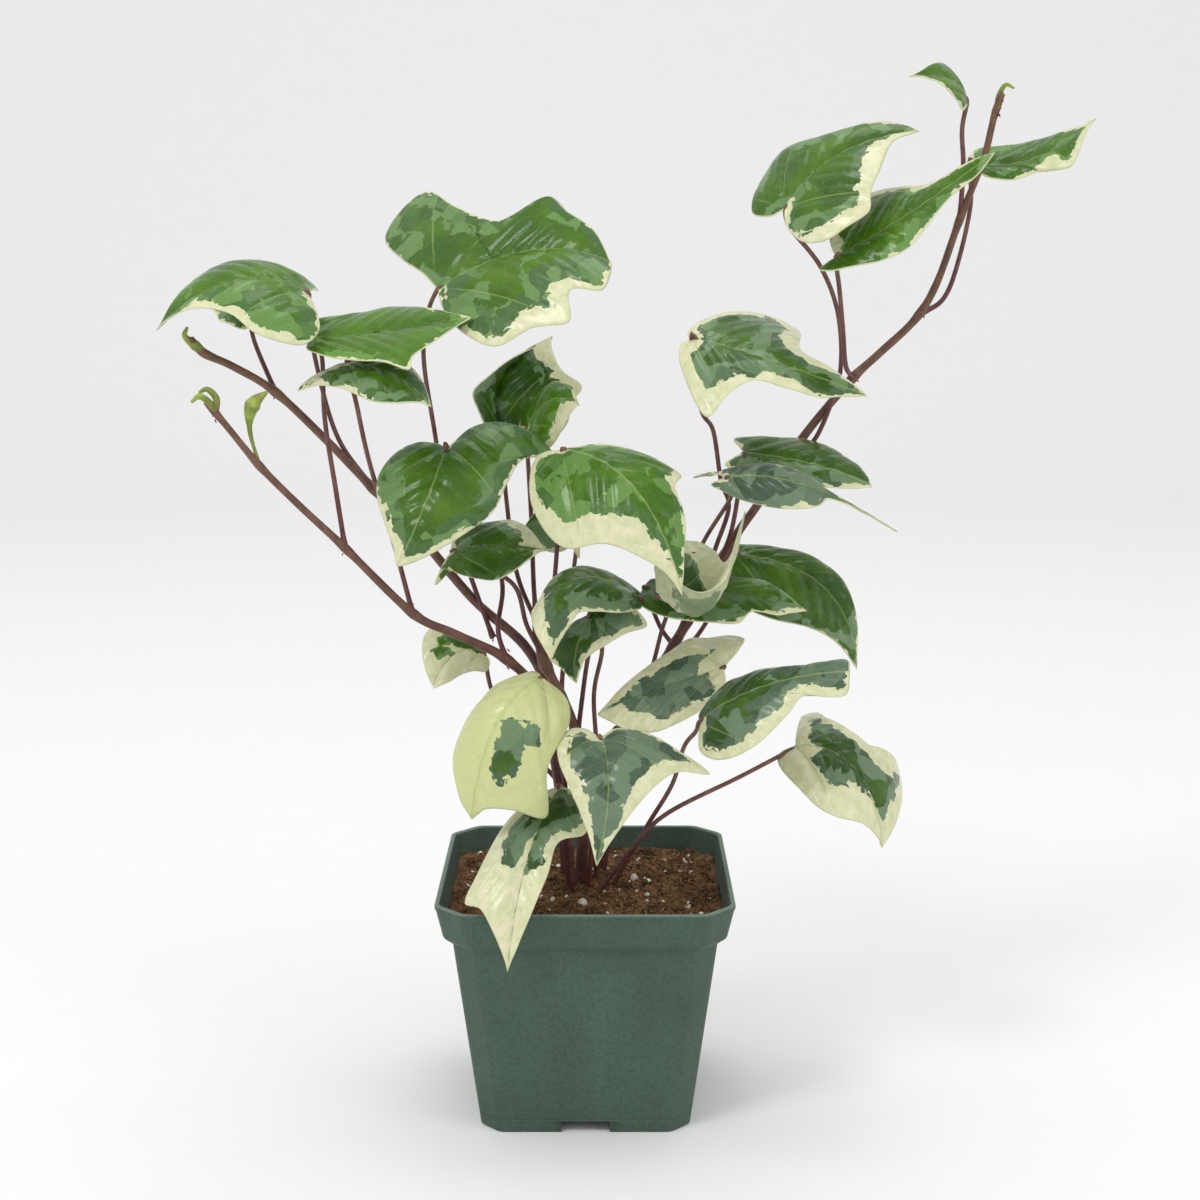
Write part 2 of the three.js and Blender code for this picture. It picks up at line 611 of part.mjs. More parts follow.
const rimHalf = RIM_WIDTH / 2;
const baseHalf = BASE_WIDTH / 2;
const floorTop = FLOOR_UNDERSIDE + FLOOR_THICKNESS;
const bodyTop = COLLAR_BOTTOM - COLLAR_STEP;
const collarHalf = rimHalf - COLLAR_LEAN;
const bodyHalf = collarHalf - COLLAR_LIP;
const wallLean = (bodyHalf - baseHalf) / bodyTop;
const outsideAt = (height) => baseHalf + wallLean * height;

function pot() {
  const profile = [
    [0, 0],
    [PAD_HALF, 0],
    [PAD_HALF + WALL, FLOOR_UNDERSIDE],
    [outsideAt(FLOOR_UNDERSIDE) - WALL, FLOOR_UNDERSIDE],
    [baseHalf - WALL, 0],
    [baseHalf, 0],
    [bodyHalf, bodyTop],
    [collarHalf, COLLAR_BOTTOM],
    [rimHalf, POT_HEIGHT],
    [rimHalf - WALL, POT_HEIGHT],
    [collarHalf - WALL, COLLAR_BOTTOM + WALL / 2],
    [bodyHalf - WALL, bodyTop + WALL / 2],
    [outsideAt(floorTop) - WALL, floorTop],
    [PAD_HALF, floorTop],
    [PAD_HALF - WALL, FLOOR_THICKNESS],
    [0, FLOOR_THICKNESS],
  ];
  let solid = toSolid(squareLathe(profile));
  for (let side = 0; side < 4; side += 1) {
    const notch = new THREE.BoxGeometry(2 * DRAIN_LENGTH, DRAIN_WIDTH, 2 * DRAIN_HEIGHT);
    const slot = new THREE.BoxGeometry(DRAIN_LENGTH, DRAIN_WIDTH, 3 * FLOOR_THICKNESS);
    notch.translate(baseHalf, 0, 0);
    slot.translate(baseHalf - WALL - 0.5 * DRAIN_LENGTH - GAP, 0, FLOOR_UNDERSIDE + FLOOR_THICKNESS / 2);
    for (const cutter of [notch, slot]) {
      cutter.rotateZ((side * Math.PI) / 2);
      solid = solid.subtract(toSolid(cutter));
    }
  }
  return solid;
}

// Gentle lumps in the soil's surface, a few centimetres from crest to crest.
function soilBump(x, y) {
  return SOIL_BUMP * (Math.sin(x / 5.3 + 1) * Math.cos(y / 4.1) + Math.sin((x - y) / 8.7));
}

function soil(stemCutters) {
  const inside = (height) => outsideAt(height) - WALL - GAP;
  const bottom = floorTop + GAP;
  const profile = [
    [0, FLOOR_THICKNESS + GAP],
    [PAD_HALF - WALL - GAP, FLOOR_THICKNESS + GAP],
    [PAD_HALF - GAP, bottom],
    [inside(bottom), bottom],
    [bodyHalf - WALL - GAP, bodyTop + WALL / 2 + GAP],
    [collarHalf - WALL - GAP, COLLAR_BOTTOM + WALL / 2 + GAP],
    [collarHalf - WALL, SOIL_EDGE],
    [SOIL_EDGE_HALF, SOIL_EDGE],
    [SOIL_SLOPE_HALF, THREE.MathUtils.lerp(SOIL_EDGE, SOIL_CROWN, 0.6)],
    [SOIL_CROWN_HALF, SOIL_CROWN],
    [0, SOIL_CROWN],
  ];
  const block = moveVertices(squareLathe(profile), (at) => {
    const isTop = at.z >= SOIL_EDGE - GAP && Math.max(Math.abs(at.x), Math.abs(at.y)) < SOIL_BUMP_HALF;
    return isTop ? at.setZ(at.z + soilBump(at.x, at.y)) : at;
  });
  return stemCutters.reduce((solid, cutter) => solid.subtract(cutter), toSolid(block));
}

// ---- Leaves -------------------------------------------------------------------------------------

// The blade as a surface: along is the place on the midrib, out the distance from it towards one edge.
class Blade {
  constructor(leaf) {
    const [base, middle, tip] = [leaf.base, leaf.middle, leaf.tip].map(vector);
    this.base = base;
    this.tip = tip;
    this.pull = middle.multiplyScalar(2).addScaledVector(base, -0.5).addScaledVector(tip, -0.5);
    const opposite = this.midrib(WIDEST);
    this.halves = [leaf.left, leaf.right].map((edge) => vector(edge).sub(opposite));
    this.arch = leaf.arch.map(THREE.MathUtils.degToRad);
  }

  midrib(along) {
    if (along < 0) return this.base.clone().addScaledVector(this.pull.clone().sub(this.base), 2 * along);
    const rest = 1 - along;
    return this.base
      .clone()
      .multiplyScalar(rest * rest)
      .addScaledVector(this.pull, 2 * along * rest)
      .addScaledVector(this.tip, along * along);
  }

  direction(along) {
    const at = Math.max(along, 0);
    const start = this.pull.clone().sub(this.base).multiplyScalar(1 - at);
    return start.addScaledVector(this.tip.clone().sub(this.pull), at).normalize();
  }

  // The way up from the upper face on one half: side 0 is the left half and side 1 the right.
  up(along, side) {
    const out = this.halves[side].clone().normalize();
    const forward = this.direction(along);
    return side ? out.cross(forward).normalize() : forward.cross(out).normalize();
  }

  // The section from the midrib to the edge is an arc that turns by the arch angle.
  point(along, out, side) {
    const reach = this.halves[side];
    const arch = this.arch[side];
    const radius = reach.length() / (2 * Math.sin(arch / 2));
    const angle = arch / 2 - arch * out;
    const across = radius * (Math.sin(arch / 2) - Math.sin(angle));
    const rise = radius * (Math.cos(angle) - Math.cos(arch / 2));
    return this.midrib(along)
      .addScaledVector(reach.clone().normalize(), across)
      .addScaledVector(this.up(along, side), rise);
  }

  normal(along, out, side) {
    if (out === 0) return this.up(along, 0).add(this.up(along, 1)).normalize();
    const reach = this.point(along, out, side).sub(this.point(along, 0.9 * out, side)).normalize();
    const forward = this.direction(along);
    return side ? reach.cross(forward).normalize() : forward.cross(reach).normalize();
  }
}

// One face of the blade: a dome bent to the leaf, with its foot on the leaf's edge and its top on the midrib.
// The under face is the same dome turned inside out, so that both faces crease along the same lines.
function bladeFace(surface, edge, isUpper) {
  const dome = new THREE.SphereGeometry(1, edge.length, LEAF_RINGS, 0, 2 * Math.PI, 0, Math.PI / 2);
  if (!isUpper) dome.setIndex([...dome.index.array].reverse());
  return moveVertices(dome, (from, around, height) => {
    const { along, out, side } = edge.at(Math.round(around * edge.length) % edge.length);
    const share = 1 - height;
    const at = THREE.MathUtils.lerp(WIDEST, along, share);
    const lift = share === 1 ? 0 : (isUpper ? 0.5 : -0.5) * LEAF_THICKNESS;
    const onMidrib = out === 0 || share === 0;
    const normal = surface.normal(at, onMidrib ? 0 : out * share, side);
    return surface.point(at, out * share, side).addScaledVector(normal, lift);
  });
}

function blade(leaf) {
  const surface = new Blade(leaf);
  const right = leaf.rightEdge.map(([along, out]) => ({ along, out, side: 1 }));
  const left = leaf.leftEdge.map(([along, out]) => ({ along, out, side: 0 }));
  const edge = [{ along: 0, out: 0, side: 1 }, ...right, { along: 1, out: 0, side: 1 }, ...left.reverse()];
  const faces = [true, false].map((isUpper) => bladeFace(surface, edge, isUpper));
  return toSolid(mergeGeometries(faces));
}

// A petiole starts a little way into its blade, and one that grows from the soil ends below it.
function petiolePath(leaf) {
  const inBlade = vector(leaf.base).addScaledVector(new Blade(leaf).direction(0), BLADE_HOLD);
  const points = [inBlade.toArray(), leaf.base, ...leaf.petiole];
  if (!leaf.joins) {
    const [x, y, z] = leaf.petiole.at(-1);
    points.push([x, y, z - ROOT_DEPTH]);
  }
  return points;
}

// ---- Assembly -----------------------------------------------------------------------------------

const plant = new THREE.Group();

function addNode(name, solid, color, roughness, metalness = 0) {
  const material = new THREE.MeshStandardMaterial({ color, roughness, metalness });
  const mesh = new THREE.Mesh(toGeometry(cleaned(solid)), material);
  mesh.name = name;
  plant.add(mesh);
}

// A stem's solid, or with a gap the wider one that leaves room for it in its neighbours.
function stemSolid({ path, foot, end }, gap = 0) {
  const [x, y, z] = path[0];
  const points = [[x, y, z - ROOT_DEPTH], ...path];
  return toSolid(tube(points, swell([foot + gap, end + gap]), STEM_SIDES, STEM_STEP));
}

const cutters = {};
for (const [name, stem] of Object.entries(STEMS)) {
  addNode(name, stemSolid(stem), VINE_BROWN, 0.6);
  cutters[name] = stemSolid(stem, GAP);
}

const soilCutters = Object.values(cutters);
for (const [name, leaf] of Object.entries(LEAVES)) {
  const points = petiolePath(leaf);
  let solid = blade(leaf).add(toSolid(petioleTube(points)));
  if (leaf.joins) solid = solid.subtract(cutters[leaf.joins]);
  else soilCutters.push(toSolid(petioleTube(points, GAP)));
  addNode(name, solid, leaf.pale ? CREAM_GREEN : GREEN, 0.4);
}

for (const [name, bud] of Object.entries(BUDS)) {
  const parts = bud.paths.map((path) => toSolid(tube(path, swell(bud.radii), PETIOLE_SIDES, BUD_STEP)));
  const whole = parts.reduce((sum, part) => sum.add(part));
  addNode(name, whole.subtract(cutters[bud.joins]), BUD_GREEN, 0.5);
}

addNode("pot", pot(), POT_GREEN, 0.75);
addNode("soil", soil(soilCutters), PEAT, 0.95);

export default plant;
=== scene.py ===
"""Potted ivy: a variegated large-leaved ivy on brown vines, growing in a square moulded nursery pot."""

import math

import bpy
import numpy as np
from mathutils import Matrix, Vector, noise


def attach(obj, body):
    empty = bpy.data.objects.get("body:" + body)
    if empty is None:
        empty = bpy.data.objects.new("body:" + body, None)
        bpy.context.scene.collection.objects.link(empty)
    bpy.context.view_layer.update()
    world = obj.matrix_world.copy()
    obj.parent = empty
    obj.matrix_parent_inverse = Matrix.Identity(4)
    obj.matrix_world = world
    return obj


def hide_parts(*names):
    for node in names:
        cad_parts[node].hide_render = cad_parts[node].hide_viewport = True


bl_info = {
    "name": "Potted ivy",
    "version": (1, 0, 0),
    "blender": (4, 5, 0),
    "location": "3D View > Sidebar > Ivy",
    "description": "Builds a variegated ivy in a square nursery pot",
    "category": "Add Mesh",
}

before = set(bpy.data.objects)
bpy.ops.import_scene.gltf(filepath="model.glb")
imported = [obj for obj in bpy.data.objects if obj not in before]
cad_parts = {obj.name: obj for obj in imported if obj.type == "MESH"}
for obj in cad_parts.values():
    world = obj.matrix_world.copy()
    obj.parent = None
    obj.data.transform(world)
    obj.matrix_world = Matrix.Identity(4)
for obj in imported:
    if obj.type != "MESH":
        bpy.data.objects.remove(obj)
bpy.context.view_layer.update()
MM = 0.001
EYE = (0.0052, -0.7055, 0.319)  # the camera's place in m
DIP = 10.63  # how far below level it looks, in degrees
LENS_MM = 60.0
SENSOR_MM = 36.0

# ---- Sizes, in mm -----------------------------------------------------------------------------------

RINGS = 24  # rings of faces from the middle of a leaf to its edge
EDGE_STEPS = 8  # points on the edge for each point of its outline
UV_MM = 100.0  # millimetres of leaf for one unit of its UV map
STALK_STEP = 1.5
CORNER_SHARE = 0.19  # how much of half a side each cut corner of the pot takes
CORNER_SOFT = 0.05  # and how much of it the rounding at each end of the cut takes
RIM_HALF = 52.5
POT_TOP = 86.5
COLLAR_FOOT = 73.8
BODY_TOP = 70.7
COLLAR_HALF = 49.8
BODY_HALF = 46.6
FOOT_HALF = 37.75
WALL = 1.3
FLOOR_LOW = 4.8
FLOOR_THICKNESS = 1.4
FLOOR_TOP = 6.2
PAD_HALF = 16
NOTCH_WIDE = 17.4
NOTCH_HIGH = 4.4
NOTCH_LONG = 28  # of the box that cuts it, across the wall
SLOT_LONG = 11  # a floor slot, from the wall inwards
SLOT_IN = 8  # from the middle of a slot to the foot's side
GROOVE_LOW = 4.7  # heights of the fine groove round the foot
GROOVE_MIDDLE = 5
GROOVE_HIGH = 5.5
GROOVE_DEPTH = 0.25
BEAD_OUT = 0.35  # how far the bead under the rim stands out
BEAD_LOW = 1.9  # how far below the rim it starts
BEAD_HIGH = 1.5  # and where it is full
PROFILE_SOFT = 0.55  # reach of the rounding at each corner of the pot's section
SOIL_EDGE = 78
SOIL_CROWN = 81
SOIL_SLOPE = ((9, SOIL_CROWN), (22, SOIL_EDGE + 1.8), (36, SOIL_EDGE))  # how far out, and how high there
SOIL_FOOT = COLLAR_FOOT + 1.5
SOIL_GAP = 0.4  # between the soil's foot and the wall
LUMP_WIDE = 9  # broad lumps of the soil
LUMP_HIGH = 1.5
GRAIN_WIDE = 1.3  # fine grain of the soil
GRAIN_HIGH = 0.45
BURIED = 10  # how far a stalk that stands in the soil runs on below it
UNDER_BLADE = 2.5  # how far a petiole runs on under its midrib
PETIOLE_SWELL = 3.0  # reach of the swelling at each end of a petiole
JOINT_REACH = 3.2  # reach of the swelling at each joint of a vine
ROOTS = 4  # aerial roots at each joint
ROOT_REACH = (0.4, 0.9, 1.35, 1.6)  # their points, in radii of the vine
ROOT_RADII = (0.3, 0.28, 0.22, 0.12)

# ---- Growth -----------------------------------------------------------------------------------------
# Points are in millimetres. Each half of a leaf's edge is a list of (along the midrib, out from it):
# along is 0 at the petiole and 1 at the tip, and out is a share of that half's width.

OVATE = (
    (-0.06, 0.25), (-0.1, 0.58), (0.03, 0.9), (0.18, 1.03), (0.34, 1), (0.52, 0.82), (0.72, 0.5), (0.9, 0.17),
)
LOBED = (
    (-0.08, 0.25), (-0.12, 0.55), (0, 0.82), (0.16, 0.93), (0.32, 1.05), (0.47, 0.78), (0.68, 0.5),
    (0.88, 0.2),
)
ROUNDED = (
    (-0.04, 0.3), (-0.06, 0.6), (0.05, 0.85), (0.18, 0.97), (0.34, 1), (0.52, 0.85), (0.72, 0.5), (0.9, 0.15),
)

LEAVES = {
    "leaf_far_left": dict(
        base=(-96, -2, 295), middle=(-121, -6, 300), tip=(-147, -14, 283),
        left=(-111, -26, 285), right=(-120, 20, 305), arch=(35, 45),
        left_edge=(
            (-0.05, 0.3), (-0.09, 0.65), (-0.02, 1), (0.15, 1.12), (0.32, 1.05), (0.48, 0.75), (0.7, 0.42),
            (0.88, 0.2),
        ),
        right_edge=(
            (-0.04, 0.3), (-0.13, 0.8), (0.04, 0.92), (0.18, 1), (0.34, 1), (0.52, 0.85), (0.72, 0.5),
            (0.9, 0.17),
        ),
        petiole=((-97, 3, 283), (-89, 4, 247), (-76, 6, 226)),
        joins="vine_left_high",
    ),
    "leaf_far_left_back": dict(
        base=(-121, 20, 286), middle=(-131, 28, 291), tip=(-143, 38, 291),
        left=(-131, 20, 285), right=(-130, 38, 296), arch=(30, 30),
        left_edge=LOBED, right_edge=LOBED,
        petiole=((-118, 14, 277), (-109, 0, 261)),
        joins="vine_left_high",
    ),
    "leaf_left_upper": dict(
        base=(-94, -8, 280), middle=(-66, -14, 283), tip=(-38, -27, 289),
        left=(-75, 8, 289), right=(-71, -32, 273), arch=(35, 25),
        left_edge=ROUNDED,
        right_edge=(
            (-0.05, 0.2), (-0.06, 0.5), (0.06, 0.72), (0.2, 0.85), (0.36, 1), (0.5, 1.22), (0.56, 0.95),
            (0.78, 0.55),
        ),
        petiole=((-91, -10, 274), (-90, -14, 253), (-86, -20, 229), (-83, -22, 209)),
        joins="vine_left_low",
    ),
    "leaf_left_curled": dict(
        base=(-82, -14, 272), middle=(-65, -28, 269), tip=(-51, -34, 259),
        left=(-64, -14, 272), right=(-74, -36, 261), arch=(30, 30),
        left_edge=ROUNDED,
        right_edge=(
            (-0.12, 0.2), (-0.26, 0.5), (-0.41, 0.93), (-0.2, 0.74), (0.04, 0.8), (0.36, 0.95),
            (0.62, 0.75), (0.86, 0.3),
        ),
        petiole=((-78, -22, 259), (-76, -16, 244), (-74, -6, 230), (-68, -6, 209), (-60, -22, 186)),
        joins="vine_left_low",
    ),
    "leaf_top_centre": dict(
        base=(-51, -6, 297), middle=(-19, -14, 310), tip=(9, -22, 306),
        left=(-27, -3, 321), right=(-21, -34, 284), arch=(4, 20),
        left_edge=(
            (-0.14, 0.8), (-0.32, 1.7), (-0.52, 2.9), (-0.5, 3.7), (-0.36, 3.7), (-0.1, 2.4), (0.1, 1.5),
            (0.28, 1.05), (0.5, 1.35), (0.66, 0.9), (0.85, 0.55),
        ),
        right_edge=(
            (0, 0.35), (0.05, 0.75), (0.16, 1.05), (0.36, 1), (0.56, 1), (0.64, 0.6), (0.83, 0.55),
            (0.93, 0.3),
        ),
        petiole=(
            (-55, -2, 288), (-57, 4, 272), (-54, 8, 247), (-50, 15, 217), (-41, 13, 190), (-34, 10, 171),
        ),
        joins="vine_left_high",
    ),
    "leaf_centre_back": dict(
        base=(-31, 22, 245), middle=(-31, 30, 264), tip=(-12, 36, 278),
        left=(-40, 14, 259), right=(-3, 20, 261), arch=(40, 30),
        left_edge=LOBED, right_edge=LOBED,
        petiole=((-29, 20, 220), (-25, 12, 194), (-16, 2, 174)),
        joins="stem_centre",
    ),
    "leaf_centre_young": dict(
        base=(-21, 8, 247), middle=(-12, 0, 258), tip=(-2, 2, 256),
        left=(-15, 14, 261), right=(-10, -2, 245), arch=(60, 70),
        left_edge=OVATE, right_edge=OVATE,
        petiole=((-21, 14, 239), (-20, 21, 213), (-19, 11, 192), (-18, 2, 182)),
        joins="stem_centre",
    ),
    "leaf_centre_left": dict(
        base=(-48, -12, 243), middle=(-54, -28, 226), tip=(-64, -32, 204),
        left=(-26, -18, 233), right=(-71, -14, 232), arch=(30, 25),
        left_edge=(
            (-0.18, 0.3), (-0.2, 0.8), (-0.02, 1.55), (0.12, 1.1), (0.35, 1), (0.6, 0.95), (0.8, 0.6),
            (0.94, 0.25),
        ),
        right_edge=(
            (-0.03, 0.25), (-0.03, 0.55), (0.08, 0.9), (0.3, 1.05), (0.48, 0.9), (0.66, 0.6), (0.82, 0.3),
            (0.93, 0.12),
        ),
        petiole=((-43, 10, 221), (-35, 20, 205), (-30, 5, 191), (-31, -10, 178), (-28, -14, 168)),
        joins="vine_left_low",
    ),
    "leaf_centre_large": dict(
        base=(-8, -16, 242), middle=(17, -34, 231), tip=(33, -44, 196),
        left=(24, -14, 240), right=(-5, -34, 214), arch=(25, 30),
        left_edge=(
            (0.05, 0.3), (0.15, 0.65), (0.3, 0.98), (0.46, 1.15), (0.54, 0.75), (0.7, 0.55), (0.86, 0.22),
            (0.94, 0.1),
        ),
        right_edge=(
            (-0.1, 0.05), (-0.12, 0.25), (0, 0.75), (0.16, 1.08), (0.32, 1.1), (0.5, 0.75), (0.7, 0.45),
            (0.88, 0.15),
        ),
        petiole=((-9, -2, 223), (-11, 4, 195), (-13, 4, 178), (-14, 2, 162)),
        joins="stem_centre",
    ),
    "leaf_under_left": dict(
        base=(-48, 2, 204), middle=(-31, -4, 207), tip=(-14, -4, 205),
        left=(-29, 8, 214), right=(-33, -12, 196), arch=(50, 40),
        left_edge=OVATE,
        right_edge=(
            (-0.1, 0.3), (-0.28, 0.85), (-0.12, 0.5), (0.05, 0.8), (0.3, 1.02), (0.52, 0.85), (0.74, 0.5),
            (0.9, 0.18),
        ),
        petiole=((-42, 6, 200), (-26, 2, 192), (-21, 0, 177), (-14, 2, 163)),
        joins="stem_centre",
    ),
    "leaf_under_centre": dict(
        base=(-2, 12, 216), middle=(-12, 12, 214), tip=(-23, 10, 211),
        left=(-10, 6, 203), right=(-11, 20, 221), arch=(30, 30),
        left_edge=(
            (-0.06, 0.5), (-0.12, 1.25), (0.04, 0.95), (0.2, 1), (0.36, 1), (0.55, 0.85), (0.75, 0.5),
            (0.9, 0.2),
        ),
        right_edge=ROUNDED,
        petiole=((-4, 18, 198), (-7, 14, 175), (-9, 2, 151)),
        joins="stem_centre",
    ),
    "leaf_pale_left": dict(
        base=(-37, 8, 165), middle=(-47, 4, 166), tip=(-55, -2, 155),
        left=(-45, 0, 159), right=(-56, 12, 174), arch=(25, 30),
        left_edge=(
            (-0.1, 0.2), (-0.08, 0.6), (0.1, 0.8), (0.3, 1), (0.5, 1.1), (0.7, 0.9), (0.85, 0.6),
            (0.95, 0.25),
        ),
        right_edge=(
            (-0.12, 0.5), (-0.1, 0.95), (0.1, 1.1), (0.3, 1), (0.5, 0.9), (0.7, 0.7), (0.85, 0.45),
            (0.95, 0.2),
        ),
        petiole=((-34, 6, 151), (-24, 6, 133), (-10, 8, 117)),
        joins="vine_left_high",
    ),
    "leaf_pale_front": dict(
        base=(-15, -28, 164), middle=(-30, -46, 152), tip=(-39, -44, 118),
        left=(-9, -40, 143), right=(-37, -26, 155), arch=(30, 45),
        left_edge=(
            (0, 0.45), (0.12, 0.85), (0.3, 1), (0.5, 1.1), (0.7, 1.38), (0.79, 0.75), (0.88, 0.3),
            (0.95, 0.12),
        ),
        right_edge=(
            (-0.05, 0.3), (-0.06, 0.6), (0.08, 0.95), (0.3, 1.05), (0.5, 0.95), (0.7, 0.75), (0.87, 0.42),
            (0.95, 0.18),
        ),
        petiole=((-10, -20, 155), (-8, -14, 131), (-7, -6, 114)),
        joins="vine_left_low",
    ),
    "leaf_grey_front": dict(
        base=(5, -34, 145), middle=(8, -52, 131), tip=(4, -58, 106),
        left=(30, -40, 138), right=(-9, -42, 140), arch=(30, 30),
        left_edge=(
            (-0.05, 0.3), (0.02, 0.65), (0.2, 1.15), (0.38, 1.68), (0.4, 1.1), (0.48, 0.78), (0.65, 0.42),
            (0.87, 0.12),
        ),
        right_edge=(
            (-0.02, 0.3), (0.02, 0.62), (0.15, 0.95), (0.36, 1), (0.55, 0.78), (0.7, 0.52), (0.82, 0.3),
            (0.93, 0.12),
        ),
        petiole=((4, -22, 136), (4, -12, 116), (2, -8, 96), (1, -6, 81)),
        joins=None,
    ),
    "leaf_over_rim": dict(
        base=(-9, -22, 124), middle=(-20, -50, 104), tip=(-26, -66, 71),
        left=(-4, -46, 108), right=(-34, -46, 104), arch=(20, 25),
        left_edge=(
            (0, 0.4), (0.1, 1), (0.2, 1.1), (0.32, 0.6), (0.5, 0.6), (0.7, 0.42), (0.85, 0.22),
            (0.94, 0.1),
        ),
        right_edge=(
            (0, 0.3), (0.05, 0.65), (0.14, 0.95), (0.35, 1.1), (0.49, 1.2), (0.6, 0.78), (0.76, 0.42),
            (0.92, 0.12),
        ),
        petiole=((-7, -16, 117), (-5, -12, 97), (-5, -10, 81)),
        joins=None,
    ),
    "leaf_rolled": dict(
        base=(20, -2, 187), middle=(0, -14, 197), tip=(-18, -20, 186),
        left=(5, -22, 186), right=(2, 4, 196), arch=(30, 50),
        left_edge=(
            (0, 0.3), (0.15, 0.8), (0.35, 1), (0.5, 1.1), (0.62, 1.7), (0.72, 1.9), (0.86, 1.2),
            (0.95, 0.5),
        ),
        right_edge=ROUNDED,
        petiole=((14, 4, 180), (5, 6, 173), (1, 6, 165), (-3, 2, 136)),
        joins="stem_centre",
    ),
    "leaf_folded": dict(
        base=(2, -6, 183), middle=(-3, -14, 171), tip=(-3, -18, 160),
        left=(12, -12, 178), right=(-12, -6, 170), arch=(40, 25),
        left_edge=(
            (-0.06, 0.6), (0, 1.1), (0.2, 1.7), (0.35, 1.2), (0.5, 0.75), (0.65, 0.3), (0.8, 0.16),
            (0.92, 0.08),
        ),
        right_edge=(
            (0.02, 0.25), (0.06, 0.5), (0.2, 0.95), (0.36, 1.05), (0.5, 0.85), (0.66, 0.5), (0.8, 0.28),
            (0.92, 0.12),
        ),
        petiole=((6, 2, 169), (3, 4, 151), (4, 2, 127), (4, 1, 78)),
        joins=None,
    ),
    "leaf_cupped": dict(
        base=(25, -14, 192), middle=(44, -20, 187), tip=(56, -14, 221),
        left=(40, 2, 207), right=(39, -34, 196), arch=(30, 30),
        left_edge=(
            (-0.04, 0.3), (-0.06, 0.6), (0.05, 0.85), (0.18, 0.97), (0.34, 1), (0.52, 0.75), (0.68, 0.32),
            (0.85, 0.1),
        ),
        right_edge=(
            (-0.04, 0.3), (-0.06, 0.6), (0.05, 0.85), (0.18, 0.97), (0.34, 1), (0.52, 0.95), (0.68, 0.8),
            (0.85, 0.3),
        ),
        petiole=((26, -4, 196), (28, 8, 196), (31, 23, 189), (36, 25, 177), (38, 20, 175)),
        joins="vine_right",
    ),
    "leaf_right_under": dict(
        base=(21, 6, 190), middle=(50, 0, 190), tip=(79, -8, 184),
        left=(52, 10, 193), right=(42, -14, 181), arch=(30, 30),
        left_edge=ROUNDED,
        right_edge=(
            (-0.05, 0.3), (-0.04, 0.6), (0.1, 0.9), (0.3, 1), (0.5, 0.95), (0.62, 0.6), (0.78, 0.5),
            (0.9, 0.2),
        ),
        petiole=((24, 20, 181), (28, 25, 171), (33, 20, 165)),
        joins="vine_right",
    ),
    "leaf_right_arching": dict(
        base=(55, 24, 199), middle=(87, 18, 188), tip=(99, 8, 159),
        left=(84, 28, 198), right=(67, 12, 179), arch=(30, 30),
        left_edge=ROUNDED,
        right_edge=(
            (-0.04, 0.3), (-0.06, 0.6), (0.06, 0.9), (0.18, 1.05), (0.34, 1.05), (0.52, 0.82), (0.72, 0.5),
            (0.9, 0.2),
        ),
        petiole=((51, 30, 185), (44, 29, 171), (36, 25, 162), (29, 20, 159)),
        joins="vine_right",
    ),
    "leaf_right_low_back": dict(
        base=(50, 6, 160), middle=(25, -8, 155), tip=(4, -14, 148),
        left=(28, -20, 144), right=(38, 16, 168), arch=(28, 34),
        left_edge=(
            (-0.04, 0.3), (-0.06, 0.6), (0.05, 0.85), (0.2, 0.97), (0.36, 1), (0.56, 0.85), (0.76, 0.5),
            (0.92, 0.18),
        ),
        right_edge=LOBED,
        petiole=((35, 10, 147), (15, 9, 138), (9, 8, 131), (4, 8, 76)),
        joins=None,
    ),
    "leaf_right_low": dict(
        base=(40, -22, 147), middle=(62, -32, 162), tip=(91, -36, 168),
        left=(58, -14, 163), right=(56, -42, 143), arch=(30, 25),
        left_edge=(
            (-0.02, 0.3), (0.02, 0.6), (0.1, 0.9), (0.2, 1), (0.36, 0.9), (0.55, 0.6), (0.75, 0.4),
            (0.95, 0.4),
        ),
        right_edge=(
            (-0.02, 0.3), (-0.02, 0.6), (0.08, 0.92), (0.24, 1.05), (0.42, 0.95), (0.6, 0.65), (0.72, 0.4),
            (0.93, 0.5),
        ),
        petiole=((39, -20, 143), (35, -18, 137), (31, -14, 122), (22, -10, 105), (10, -3, 80)),
        joins=None,
    ),
    "leaf_right_drooping": dict(
        base=(76, -4, 133), middle=(96, -14, 128), tip=(106, -22, 101),
        left=(98, 6, 139), right=(81, -26, 118), arch=(25, 30),
        left_edge=(
            (-0.1, 0.9), (-0.22, 2), (0, 1.25), (0.3, 0.8), (0.55, 0.8), (0.76, 1.45), (0.89, 1.85),
            (0.96, 0.9),
        ),
        right_edge=(
            (-0.1, 0.1), (-0.05, 0.4), (0.1, 0.75), (0.3, 1), (0.5, 0.95), (0.7, 0.6), (0.88, 0.25),
            (0.95, 0.1),
        ),
        petiole=((56, -10, 124), (31, -16, 113), (20, -16, 103), (6, -12, 82)),
        joins=None,
    ),
    "leaf_right_cream": dict(
        base=(37, -4, 280), middle=(60, -14, 274), tip=(96, -24, 261),
        left=(57, 12, 286), right=(47, -26, 262), arch=(20, 20),
        left_edge=(
            (-0.06, 0.15), (0.05, 0.7), (0.2, 1.15), (0.42, 1.8), (0.6, 1.45), (0.66, 0.6), (0.8, 0.4),
            (0.92, 0.2),
        ),
        right_edge=(
            (-0.1, 0.2), (-0.06, 0.7), (0.18, 1.45), (0.35, 0.9), (0.5, 0.5), (0.65, 0.45), (0.8, 0.4),
            (0.9, 0.2),
        ),
        petiole=((41, 6, 255), (46, 14, 246), (49, 15, 228), (52, 15, 218), (47, 15, 202), (42, 20, 183)),
        joins="vine_right",
    ),
